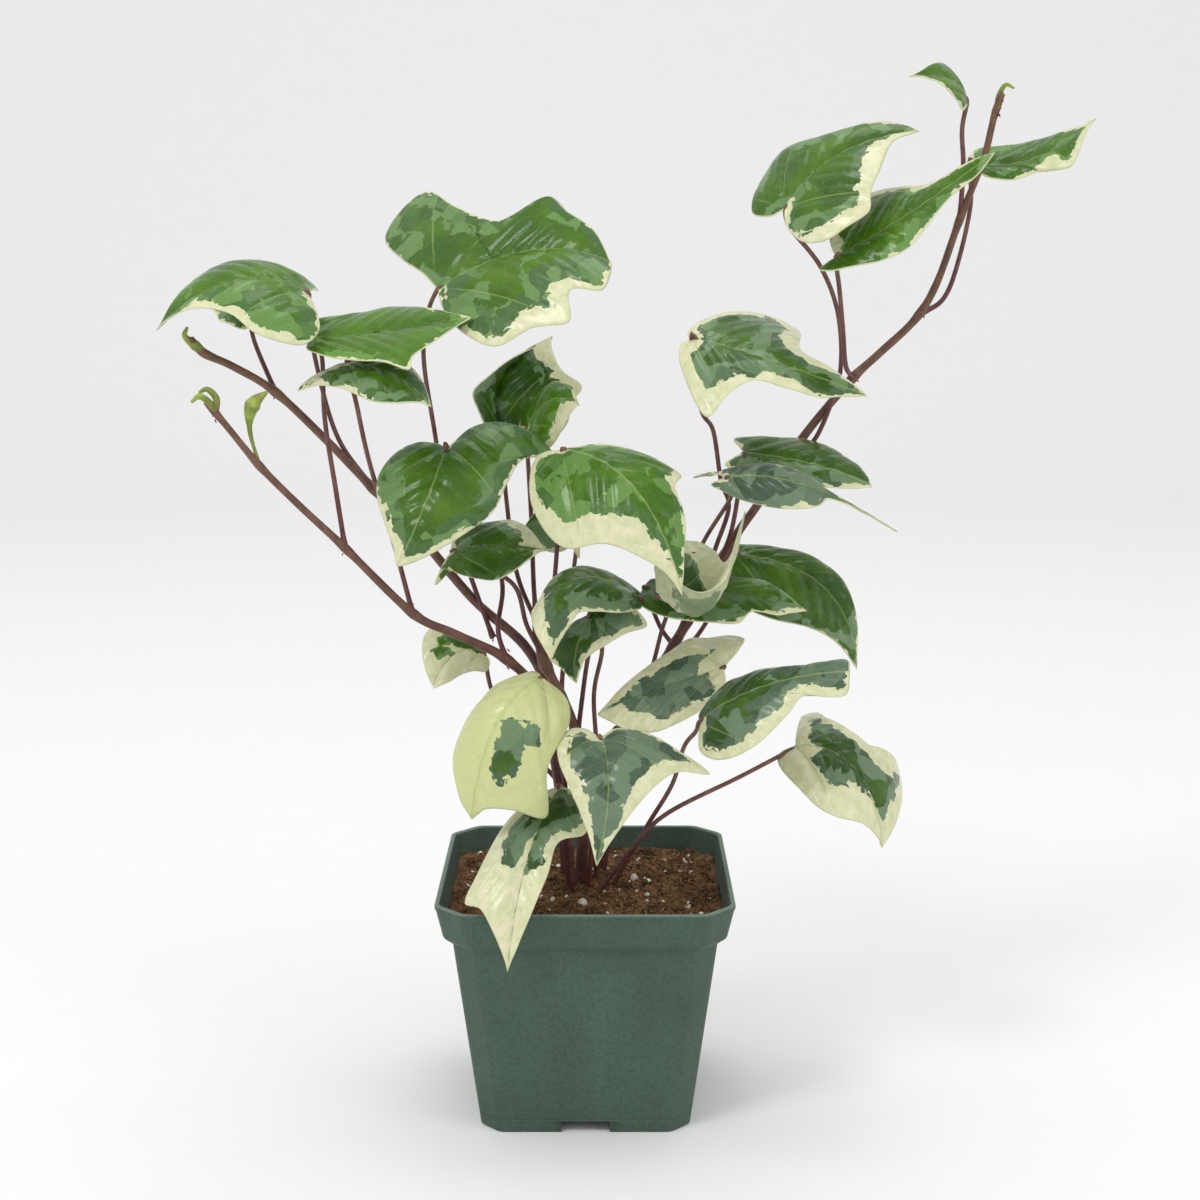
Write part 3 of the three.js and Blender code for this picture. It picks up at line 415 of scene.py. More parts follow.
    "leaf_right_middle": dict(
        base=(56, 2, 239), middle=(80, -6, 236), tip=(101, -10, 229),
        left=(76, 14, 243), right=(66, -10, 230), arch=(30, 20),
        left_edge=(
            (-0.06, 0.25), (-0.1, 0.55), (0.03, 0.8), (0.15, 0.95), (0.3, 1.02), (0.5, 0.9), (0.7, 0.6),
            (0.88, 0.3),
        ),
        right_edge=(
            (-0.05, 0.2), (-0.08, 0.5), (0.02, 0.8), (0.15, 0.92), (0.34, 1), (0.52, 0.9), (0.68, 0.72),
            (0.86, 0.4),
        ),
        petiole=((55, 6, 231), (55, 8, 225), (53, 13, 210), (50, 20, 199)),
        joins="vine_right",
    ),
    "leaf_right_tailed": dict(
        base=(49, -12, 232), middle=(74, -22, 231), tip=(108, -24, 215),
        left=(67, -10, 236), right=(67, -24, 223), arch=(20, 20),
        left_edge=(
            (-0.15, 0.7), (-0.36, 1), (-0.2, 1), (0.05, 0.9), (0.3, 1), (0.5, 0.7), (0.66, 0.2),
            (0.85, 0.1),
        ),
        right_edge=(
            (-0.12, 0.1), (-0.05, 0.4), (0.08, 0.8), (0.25, 1), (0.42, 0.9), (0.56, 0.6), (0.66, 0.15),
            (0.85, 0.06),
        ),
        petiole=((52, -2, 225), (43, 13, 206), (30, 17, 178), (24, 15, 157), (13, 12, 124), (6, 12, 74)),
        joins=None,
    ),
    "leaf_crown_large": dict(
        base=(69, -4, 324), middle=(87, 2, 342), tip=(116, 6, 351),
        left=(71, 18, 345), right=(92, -20, 324), arch=(25, 20),
        left_edge=(
            (-0.12, 0.25), (-0.18, 0.7), (-0.05, 1), (0.14, 1.1), (0.3, 1.1), (0.5, 0.7), (0.8, 0.45),
            (0.93, 0.25),
        ),
        right_edge=(
            (-0.08, 0.15), (-0.1, 0.55), (0, 0.9), (0.15, 1.05), (0.33, 1.15), (0.45, 0.9), (0.62, 0.6),
            (0.83, 0.15),
        ),
        petiole=(
            (71, -1, 318), (82, 3, 305), (89, 7, 289), (91, 10, 270), (88, 12, 256), (82, 14, 242),
            (75, 16, 239),
        ),
        joins="vine_right",
    ),
    "leaf_crown_twisted": dict(
        base=(86, -10, 308), middle=(110, -12, 322), tip=(140, -8, 343),
        left=(100, 12, 329), right=(101, -20, 307), arch=(20, 20),
        left_edge=(
            (-0.02, 0.3), (0, 0.7), (0.1, 1), (0.3, 1.08), (0.5, 0.7), (0.62, 0.4), (0.77, 0.25),
            (0.9, 0.15),
        ),
        right_edge=(
            (-0.14, 0.1), (-0.06, 0.45), (0.1, 0.7), (0.3, 1), (0.45, 1.1), (0.58, 0.8), (0.72, 0.4),
            (0.88, 0.35),
        ),
        petiole=((88, -6, 297), (90, -2, 283), (92, 4, 270), (96, 14, 265)),
        joins="vine_right",
    ),
    "leaf_crown_right": dict(
        base=(135, 14, 341), middle=(156, 10, 341), tip=(177, 4, 355),
        left=(150, 22, 346), right=(147, 6, 334), arch=(20, 20),
        left_edge=(
            (0, 0.3), (0.04, 0.6), (0.15, 0.95), (0.3, 1), (0.5, 1.1), (0.65, 1), (0.8, 0.6), (0.92, 0.25),
        ),
        right_edge=(
            (0, 0.3), (0.04, 0.6), (0.15, 0.9), (0.3, 1), (0.5, 0.85), (0.64, 0.75), (0.78, 1.5),
            (0.92, 0.5),
        ),
        petiole=((136, 14, 326), (132, 14, 305), (127, 12, 293), (119, 10, 288)),
        joins="vine_right",
    ),
    "leaf_crown_young": dict(
        base=(131, 0, 360), middle=(124, -6, 367), tip=(109, -12, 368),
        left=(123, -14, 362), right=(125, 4, 372), arch=(20, 20),
        left_edge=ROUNDED, right_edge=ROUNDED,
        petiole=((130, 2, 351), (131, 3, 339), (131, 6, 321)),
        joins="vine_right",
    ),
}
STEMS = {
    "vine_left_low": dict(
        foot=2, end=1.1,
        path=(
            (-5, -6, 79), (-7, -6, 98), (-11, -8, 129), (-16, -10, 153), (-28, -14, 168), (-46, -18, 178),
            (-60, -22, 186), (-83, -22, 209), (-98, -24, 224), (-111, -26, 238), (-121, -27, 251),
            (-128, -28, 260),
        ),
    ),
    "vine_left_high": dict(
        foot=2.1, end=1.3,
        path=(
            (-7, 8, 76), (-9, 8, 110), (-11, 8, 142), (-21, 10, 166), (-41, 14, 184), (-62, 12, 210),
            (-76, 6, 226), (-91, 2, 243), (-109, 0, 261), (-123, -2, 270), (-133, -4, 275),
            (-137, -6, 280),
        ),
    ),
    "vine_right": dict(
        foot=2.2, end=1.1,
        path=(
            (4, 16, 73), (7, 18, 111), (15, 20, 135), (28, 20, 157), (36, 20, 172), (54, 20, 205),
            (63, 18, 219), (79, 16, 244), (95, 14, 264), (105, 12, 274), (117, 10, 286), (124, 8, 299),
            (131, 6, 321), (138, 4, 341), (141, 2, 356), (143, 0, 363),
        ),
    ),
    "stem_centre": dict(
        foot=2.2, end=1.5,
        path=((-2, 1, 77), (-1, 2, 112), (-4, 2, 138), (-10, 2, 153), (-16, 2, 166), (-18, 2, 182)),
    ),
}
BUDS = {
    "bud_left_high": dict(
        radii=(1.4, 1.9, 1.1, 0.5), joins="vine_left_high",
        paths=(
            ((-133, -4, 275), (-136, -5, 278), (-139, -6, 281), (-138, -6, 284)),
        ),
    ),
    "bud_left_low": dict(
        radii=(1.2, 1.2, 1.1, 0.5), joins="vine_left_low",
        paths=(
            ((-125, -28, 257), (-127, -29, 260), (-130, -29, 262), (-133, -28, 260)),
            ((-125, -28, 257), (-125, -26, 261), (-128, -25, 264), (-131, -25, 263)),
        ),
    ),
    "bud_left_stalked": dict(
        radii=(0.7, 0.6, 0.9, 2.8, 0.6), joins="vine_left_low",
        paths=(
            ((-111, -26, 238), (-114, -25, 249), (-114, -24, 256), (-112, -24, 260), (-108, -25, 263)),
        ),
    ),
    "bud_right": dict(
        radii=(1.1, 1, 0.8, 0.4), joins="vine_right",
        paths=(
            ((142, 1, 358), (142, 1, 362), (144, 0, 366), (147, 0, 365)),
        ),
    ),
}

# How each leaf is coloured. cream is the width in mm of the cream margin at the base, the middle and
# the tip, left half then right half. grey is how much further in the grey-green goes on each half.
# bright runs from an old dark leaf to a young bright one. islands are (along mm, out mm, radius mm)
# spots that stay green in the cream.
COLOURING = {
    "leaf_far_left": dict(cream=((2, 4, 0), (0, 0, 0)), grey=(8, 4), bright=0.85),
    "leaf_far_left_back": dict(cream=((1, 1, 1), (1, 1, 1)), grey=(3, 3), bright=0.5),
    "leaf_left_upper": dict(cream=((0, 0, 3), (0, 1, 0)), grey=(1, 3), bright=1.0),
    "leaf_left_curled": dict(cream=((0, 0, 1), (2, 1, 2)), grey=(6, 3), bright=0.45),
    "leaf_top_centre": dict(cream=((0, 0, 0), (0, 7, 0)), grey=(5, 9), bright=0.7),
    "leaf_centre_back": dict(cream=((0, 0, 0), (2, 5, 4)), grey=(6, 4), bright=0.3),
    "leaf_centre_young": dict(cream=((2, 1, 2), (3, 3, 3)), grey=(1, 1), bright=1.0),
    "leaf_centre_left": dict(cream=((0, 1, 3), (0, 1, 4)), grey=(8, 7), bright=0.65),
    "leaf_centre_large": dict(cream=((0, 4, 1), (2, 10, 3)), grey=(5, 8), bright=0.85),
    "leaf_under_left": dict(cream=((1, 4, 4), (0, 0, 1)), grey=(3, 1), bright=0.4),
    "leaf_under_centre": dict(cream=((2, 1, 0), (0, 0, 0)), grey=(2, 1), bright=0.4),
    "leaf_pale_left": dict(
        cream=((40, 40, 40), (40, 40, 40)), grey=(0, 0), bright=0.6,
        islands=((3, 4, 3.5), (7, 6, 3.5), (11, 6.5, 3), (14, 4, 3)),
    ),
    "leaf_pale_front": dict(
        cream=((50, 50, 50), (50, 50, 50)), grey=(5, 5), bright=0.3, pale=0.9,
        islands=((26, -6, 5), (31, -8, 5.5), (36, -7, 4), (22, -12, 3)),
    ),
    "leaf_grey_front": dict(cream=((1, 6, 1), (4, 6, 1)), grey=(14, 12), bright=0.12),
    "leaf_over_rim": dict(cream=((2, 4, 26), (3, 12, 26)), grey=(4, 6), bright=0.25),
    "leaf_rolled": dict(cream=((0, 3, 5), (0, 0, 1)), grey=(5, 4), bright=0.3),
    "leaf_folded": dict(cream=((1, 3, 2), (2, 2, 2)), grey=(5, 4), bright=0.25),
    "leaf_cupped": dict(cream=((6, 10, 12), (6, 9, 12)), grey=(2, 2), bright=0.35),
    "leaf_right_under": dict(cream=((0, 0, 0), (0, 1, 1)), grey=(1, 2), bright=0.4),
    "leaf_right_arching": dict(cream=((0, 0, 0), (0, 0, 0)), grey=(1, 1), bright=0.3),
    "leaf_right_low_back": dict(cream=((5, 7, 8), (12, 8, 3)), grey=(16, 14), bright=0.1),
    "leaf_right_low": dict(cream=((0, 0, 0), (4, 6, 2)), grey=(8, 7), bright=0.15),
    "leaf_right_drooping": dict(cream=((5, 7, 6), (8, 12, 8)), grey=(5, 4), bright=0.2),
    "leaf_right_cream": dict(cream=((4, 9, 1), (11, 4, 1)), grey=(5, 6), bright=0.4),
    "leaf_right_middle": dict(cream=((0, 1, 1), (1, 1, 2)), grey=(3, 6), bright=0.35),
    "leaf_right_tailed": dict(cream=((1, 1, 0), (1, 1, 0)), grey=(24, 24), bright=0.1),
    "leaf_crown_large": dict(cream=((0, 0, 1), (3, 7, 5)), grey=(4, 5), bright=0.6),
    "leaf_crown_twisted": dict(cream=((6, 4, 1), (0, 1, 1)), grey=(1, 3), bright=0.8),
    "leaf_crown_right": dict(cream=((0, 1, 3), (0, 1, 3)), grey=(4, 3), bright=0.75),
    "leaf_crown_young": dict(cream=((2, 1, 0), (0, 0, 0)), grey=(1, 1), bright=0.8),
}

# ---- Small tools ------------------------------------------------------------------------------------


def linear(hex_colour):
    """An sRGB hex colour as linear red, green, blue and alpha."""
    values = [int(hex_colour[i : i + 2], 16) / 255 for i in (1, 3, 5)]
    bent = [v / 12.92 if v <= 0.04045 else ((v + 0.055) / 1.055) ** 2.4 for v in values]
    return (*bent, 1.0)


def add(tree, kind, links=None, values=None, **settings):
    """Adds one node with its settings, the values of its inputs and the links into them."""
    node = tree.nodes.new(kind)
    for name, setting in settings.items():
        setattr(node, name, setting)
    for name, value in (values or {}).items():
        node.inputs[name].default_value = value
    for name, socket in (links or {}).items():
        tree.links.new(socket, node.inputs[name])
    return node


def catmull(points, steps):
    """A smooth line through the points, with steps samples to each span."""
    known = [2 * points[0] - points[1], *points, 2 * points[-1] - points[-2]]
    line = []
    for a, b, c, d in zip(known, known[1:], known[2:], known[3:]):
        for i in range(steps):
            t = i / steps
            cubic = (3 * b - a - 3 * c + d) * t**3
            line.append(0.5 * (2 * b + (c - a) * t + (2 * a - 5 * b + 4 * c - d) * t**2 + cubic))
    return np.array([*line, points[-1]])


def bend(start, pull, end, t):
    """The point part way along the curve from the start to the end, which leans to the pull point."""
    return (1 - t) ** 2 * start + 2 * t * (1 - t) * pull + t * t * end


def even(line, step):
    """The same line with its points about one step apart, and the length run up to each."""
    run = np.concatenate([[0], np.cumsum(np.linalg.norm(np.diff(line, axis=0), axis=1))])
    at = np.linspace(0, run[-1], max(3, round(run[-1] / step) + 1))
    return np.column_stack([np.interp(at, run, line[:, k]) for k in range(3)]), at


class Shell:
    """Vertices in mm, faces, a material number for each face, and named values for each vertex."""

    def __init__(self):
        self.points, self.faces, self.parts, self.values, self.count = [], [], [], [], 0

    def grow(self, points, faces, part, **values):
        """Adds points with their faces, the material number of each face and the named values."""
        self.faces += [tuple(i + self.count for i in face) for face in faces]
        self.parts += part if isinstance(part, list) else [part] * len(faces)
        self.points.append(np.asarray(points, float))
        self.values.append((len(points), values))
        self.count += len(points)

    def named(self, name):
        """One value for each vertex, 0 where a stretch of the shell doesn't give it."""
        rows = [np.broadcast_to(values.get(name, 0.0), (n,)) for n, values in self.values]
        return np.concatenate(rows).astype(np.float32)


def make_mesh(name, shell, materials, attributes=(), uv=None):
    """A smooth mesh object at the origin, with a layer for each named value and the given materials."""
    mesh = bpy.data.meshes.new(name)
    mesh.from_pydata((np.concatenate(shell.points) * MM).tolist(), [], shell.faces)
    mesh.polygons.foreach_set("material_index", shell.parts)
    mesh.polygons.foreach_set("use_smooth", [True] * len(shell.faces))
    for attribute in attributes:
        layer = mesh.attributes.new(attribute, "FLOAT", "POINT")
        layer.data.foreach_set("value", shell.named(attribute))
    if uv:
        at = np.column_stack([shell.named(uv[0]), shell.named(uv[1])])
        corner = np.zeros(len(mesh.loops), np.int32)
        mesh.loops.foreach_get("vertex_index", corner)
        mesh.uv_layers.new(name="leaf_plane").data.foreach_set("uv", at[corner].ravel())
    for material in materials:
        mesh.materials.append(material)
    mesh.validate()
    mesh.update()
    made = bpy.data.objects.new(name, mesh)
    bpy.context.scene.collection.objects.link(made)
    return made


def tube(shell, line, radii, sides, part, **values):
    """A closed round tube along the line, with a low point at each end, twisted as little as can be."""
    step = np.gradient(line, axis=0)
    forward = step / np.linalg.norm(step, axis=1)[:, None]
    across = np.cross(forward[0], (0.3, 0.9, 0.1))
    rings = []
    for centre, ahead, radius in zip(line, forward, radii):
        across = across - ahead * (across @ ahead)
        across = across / np.linalg.norm(across)
        around = np.linspace(0, 2 * math.pi, sides, endpoint=False)[:, None]
        rings.append(centre + radius * (np.cos(around) * across + np.sin(around) * np.cross(ahead, across)))
    ends = [line[0] - forward[0] * radii[0] * 0.4, line[-1] + forward[-1] * radii[-1] * 0.6]
    points = np.concatenate([*rings, ends])
    faces = []
    for ring in range(len(line) - 1):
        for k in range(sides):
            a, b = ring * sides + k, ring * sides + (k + 1) % sides
            faces.append((a, b, b + sides, a + sides))
    first, last, final = len(points) - 2, len(points) - 1, (len(line) - 1) * sides
    for k in range(sides):
        faces.append((first, (k + 1) % sides, k))
        faces.append((last, final + k, final + (k + 1) % sides))
    spread = {
        name: np.concatenate([np.repeat(value, sides), [value[0], value[-1]]]) if np.ndim(value) else value
        for name, value in values.items()
    }
    shell.grow(points, faces, part, **spread)


# ---- Leaf shape -------------------------------------------------------------------------------------

WIDEST = 0.3  # where along the midrib the left and right points stand opposite it
LAST_RING = 0.985  # the ring just inside the edge, as a share of the way out
LATERAL_VEIN = 1.05  # direction of the veins into the side lobes, as out over along
BASAL_VEIN = -3.2  # direction of the veins into the lobes behind the petiole
VEINS = {
    "vein_left": LATERAL_VEIN,
    "vein_right": -LATERAL_VEIN,
    "basal_left": BASAL_VEIN,
    "basal_right": -BASAL_VEIN,
}
FEATHER_LEAN = 0.85  # how much the fine side veins lean towards the tip
FEATHER_STEP = 7.2  # mm between them
FEATHER_SWELL = 0.7  # how far the blade swells between them, as a share of the pucker
VEIN_VALLEY = 2.5  # mm from a vein to where the blade has swollen most of the way
RIB_HALF = 0.7  # mm from the midrib's middle to its side, underneath
FULL_LEAF = 45  # mm: a shorter leaf ripples and puckers less
CREAM_AT = (-0.1, 0.45, 1)  # where along the midrib the three widths of the cream margin hold
CREAM_SHIFT = -7.1  # mm: takes back about what the torn borders add
GREY_SHIFT = -13.6


class Blade:
    """A leaf's surface. along runs from 0 at the petiole to 1 at the tip, out from the midrib to an edge."""

    def __init__(self, base, middle, tip, left, right, arch):
        self.base, middle, self.tip = (np.array(p, float) for p in (base, middle, tip))
        self.pull = 2 * middle - (self.base + self.tip) / 2
        opposite = self.midrib(np.array([WIDEST]))[0]
        self.reach = [np.array(left) - opposite, np.array(right) - opposite]
        self.arch = np.radians(arch)
        self.length = np.linalg.norm(self.tip - self.base)
        self.width = [np.linalg.norm(v) for v in self.reach]

    def midrib(self, along):
        a = np.asarray(along)[:, None]
        curve = bend(self.base, self.pull, self.tip, a)
        return np.where(a < 0, self.base + 2 * a * (self.pull - self.base), curve)

    def forward(self, along):
        a = np.maximum(np.asarray(along), 0)[:, None]
        step = (1 - a) * (self.pull - self.base) + a * (self.tip - self.pull)
        return step / np.linalg.norm(step, axis=1)[:, None]

    def place(self, along, out, side):
        """Points in mm. The section from the midrib to the edge is an arc that turns by the arch angle."""
        reach, arch = self.reach[side], self.arch[side]
        outward = reach / self.width[side]
        rise = np.cross(outward, self.forward(along)) * (1 if side else -1)
        rise /= np.linalg.norm(rise, axis=1)[:, None]
        radius = self.width[side] / (2 * math.sin(arch / 2))
        angle = arch / 2 - arch * out
        across = radius * (math.sin(arch / 2) - np.sin(angle))
        lift = radius * (np.cos(angle) - math.cos(arch / 2))
        return self.midrib(along) + across[:, None] * outward + lift[:, None] * rise


def leaf_edge(half, steps):
    """One half of the edge from the petiole to the tip, as smooth (along, out) points."""
    return catmull([np.array(p, float) for p in ((0, 0), *half, (1, 0))], steps)


def blade_grid(surface, leaf):
    """Rings of points from the blade's middle to its edge, each ring's share of the way, and where each
    point lies in mm: x along the midrib and y to the right of it."""
    halves = []
    for side, name in ((1, "right_edge"), (0, "left_edge")):
        line = leaf_edge(leaf[name], EDGE_STEPS)
        halves.append((line, np.full(len(line), side)))
    edge = np.concatenate([halves[0][0][:-1], halves[1][0][:0:-1]])
    sides = np.concatenate([halves[0][1][:-1], halves[1][1][:0:-1]])
    shares = np.concatenate([np.linspace(0, 1, RINGS + 1)[1:-1], [LAST_RING, 1]])[:, None]
    along = WIDEST + shares * (edge[:, 0] - WIDEST)
    out = shares * edge[:, 1]
    points = np.zeros((len(shares), len(edge), 3))
    for side in (0, 1):
        chosen = sides == side
        flat = surface.place(along[:, chosen].ravel(), out[:, chosen].ravel(), side)
        points[:, chosen] = flat.reshape(len(shares), -1, 3)
    x = along * surface.length
    y = out * np.where(sides == 1, surface.width[1], -surface.width[0])
    return points, shares, x, y


def blade_zones(surface, colouring, x, y):
    """What the leaf's materials read, in mm: how deep each point lies in a zone, how far it is from the
    edge, and how far from each vein."""
    rim = np.array([edge_distance(x[ring], y[ring], x[-1], y[-1]) for ring in range(len(x))])
    widths = np.array(colouring["cream"])
    knots = np.array(CREAM_AT) * surface.length
    cream = np.where(y < 0, np.interp(x, knots, widths[0]), np.interp(x, knots, widths[1])) - rim
    for island_x, island_y, radius in colouring.get("islands", ()):
        cream = np.minimum(cream, np.hypot(x - island_x, y - island_y) - radius)
    grey = cream + np.where(y < 0, *colouring["grey"])
    veins = {name: (y + slope * x) / math.hypot(1, slope) for name, slope in VEINS.items()}
    return dict(leaf_x=x, leaf_y=y, rim=rim, cream=cream, grey=grey, **veins)


def blade_lift(surface, sizes, zones, shares, seed):
    """How far each point is lifted, in m: a wavy edge, and a blade swollen between its veins."""
    x, y = zones["leaf_x"], zones["leaf_y"]
    near = np.minimum(np.abs(y), np.minimum(np.abs(zones["vein_left"]), np.abs(zones["vein_right"])))
    turn = np.linspace(0, 2 * math.pi, x.shape[1], endpoint=False)
    phases = np.random.default_rng(seed).uniform(0, 2 * math.pi, 3)
    wave = sum(np.sin(k * turn + phase) / k for k, phase in zip((3, 7, 12), phases))
    swell = np.abs(np.sin(math.pi * (x - FEATHER_LEAN * np.abs(y)) / FEATHER_STEP))
    size = min(1.0, surface.length / FULL_LEAF)
    lift = sizes.ripple * size * wave * shares**3
    lift += sizes.pucker * size * (1 - np.exp(-((near / VEIN_VALLEY) ** 2))) * (1 - shares**4)
    lift += FEATHER_SWELL * sizes.pucker * size * swell * (1 - shares**6)
    return lift


def blade_faces(inner, count):
    """The faces of both sides of a blade, and the material number of each. The points run: the upper
    side's inner rings, the lower side's, the ring of the edge that both share, and the two centres."""
    one = inner * count
    faces, parts = [], []
    for k in range(count):
        n = (k + 1) % count
        for ring in range(inner):
            a, b = ring * count + k, ring * count + n
            c, d = (b + count, a + count) if ring < inner - 1 else (2 * one + n, 2 * one + k)
            faces.append((a, d, c, b))
            c, d = (c + one, d + one) if ring < inner - 1 else (c, d)
            faces.append((a + one, b + one, c, d))
            parts += [0, 1]
        faces.append((2 * one + count, k, n))
        faces.append((2 * one + count + 1, n + one, k + one))
        parts += [0, 1]
    return faces, parts


def blade_shell(shell, leaf, colouring, sizes, seed):
    """The blade as two faces a leaf's thickness apart, joined round the edge."""
    surface = Blade(leaf["base"], leaf["middle"], leaf["tip"], leaf["left"], leaf["right"], leaf["arch"])
    points, shares, x, y = blade_grid(surface, leaf)
    zones = blade_zones(surface, colouring, x, y)
    lift = blade_lift(surface, sizes, zones, shares, seed)
    points = points + (lift / MM)[..., None] * surface_normals(points)
    normal = surface_normals(points)
    half = sizes.leaf_thickness / MM / 2
    deep = sizes.rib / MM
    rib = deep * np.exp(-((y / RIB_HALF) ** 2)) * np.clip(1 - x / surface.length, 0, 1)
    upper = points + half * normal
    lower = points - (half + rib)[..., None] * normal

    inner, count = len(shares) - 1, points.shape[1]
    centre = surface.midrib(np.array([WIDEST]))[0]
    up = normal[0].mean(0)
    up /= np.linalg.norm(up)
    verts = np.concatenate([
        upper[:inner].reshape(-1, 3), lower[:inner].reshape(-1, 3), points[inner],
        [centre + half * up, centre - (half + deep) * up],
    ])
    middle = surface.length * WIDEST
    at_centre = {name: slope * middle / math.hypot(1, slope) for name, slope in VEINS.items()}
    at_centre |= dict(leaf_x=middle, leaf_y=0.0)
    spread = {}
    for name, value in zones.items():
        rows = value[:inner].ravel()
        centre_value = at_centre.get(name, value[0].mean())
        spread[name] = np.concatenate([rows, rows, value[inner], [centre_value, centre_value]])
    for name in ("leaf_x", "leaf_y"):
        spread[name] = spread[name] / UV_MM
    faces, parts = blade_faces(inner, count)
    pale = colouring.get("pale", 0.0)
    shell.grow(verts, faces, parts, bright=colouring["bright"], pale=pale, **spread)
    return surface


def edge_distance(x, y, edge_x, edge_y):
    """How far each point is from the nearest stretch of the edge, in mm."""
    ax, ay = edge_x, edge_y
    bx, by = np.roll(ax, -1), np.roll(ay, -1)
    dx, dy = bx - ax, by - ay
    long = np.maximum(dx**2 + dy**2, 1e-9)
    t = np.clip(((x[:, None] - ax) * dx + (y[:, None] - ay) * dy) / long, 0, 1)
    return np.hypot(x[:, None] - ax - t * dx, y[:, None] - ay - t * dy).min(1)


def surface_normals(points):
    """The upward normal at each point of a grid of rings and spokes."""
    outward = np.gradient(points, axis=0)
    round_about = (np.roll(points, -1, axis=1) - np.roll(points, 1, axis=1)) / 2
    normal = np.cross(outward, round_about)
    return normal / np.maximum(np.linalg.norm(normal, axis=2), 1e-9)[..., None]


# ---- Materials --------------------------------------------------------------------------------------


def new_material(name, **shader):
    """A material with its node tree and its shader, whose even settings sit on the shader itself."""
    made = bpy.data.materials.new(name)
    made.use_nodes = True
    tree = made.node_tree
    principled = tree.nodes["Principled BSDF"]
    for socket, value in shader.items():
        principled.inputs[socket.replace("_", " ")].default_value = value
    return made, tree, principled


def fill(tree, node, given):
    """Links each socket, and sets each number or hex colour, on the node's inputs."""
    for index, value in given.items():
        if isinstance(value, str):
            node.inputs[index].default_value = linear(value)
        elif isinstance(value, (int, float)):
            node.inputs[index].default_value = value
        else:
            tree.links.new(value, node.inputs[index])


def blend(tree, share, first, second):
    """The colour part way from the first to the second. Each is a socket, a number or a hex colour."""
    node = add(tree, "ShaderNodeMix", data_type="RGBA")
    fill(tree, node, {0: share, 6: first, 7: second})
    return node.outputs[2]


def sums(tree, operation, *terms):
    """A chain of one math operation over sockets and numbers."""
    total = terms[0]
    for term in terms[1:]:
        node = add(tree, "ShaderNodeMath", operation=operation)
        fill(tree, node, {0: total, 1: term})
        total = node.outputs[0]
    return total


def step_up(tree, value, low, high, smooth=True):
    """0 where the value is below low and 1 above high."""
    limits = {"From Min": low, "From Max": high}
    kind = "SMOOTHSTEP" if smooth else "LINEAR"
    return add(tree, "ShaderNodeMapRange", {"Value": value}, limits, interpolation_type=kind).outputs[0]


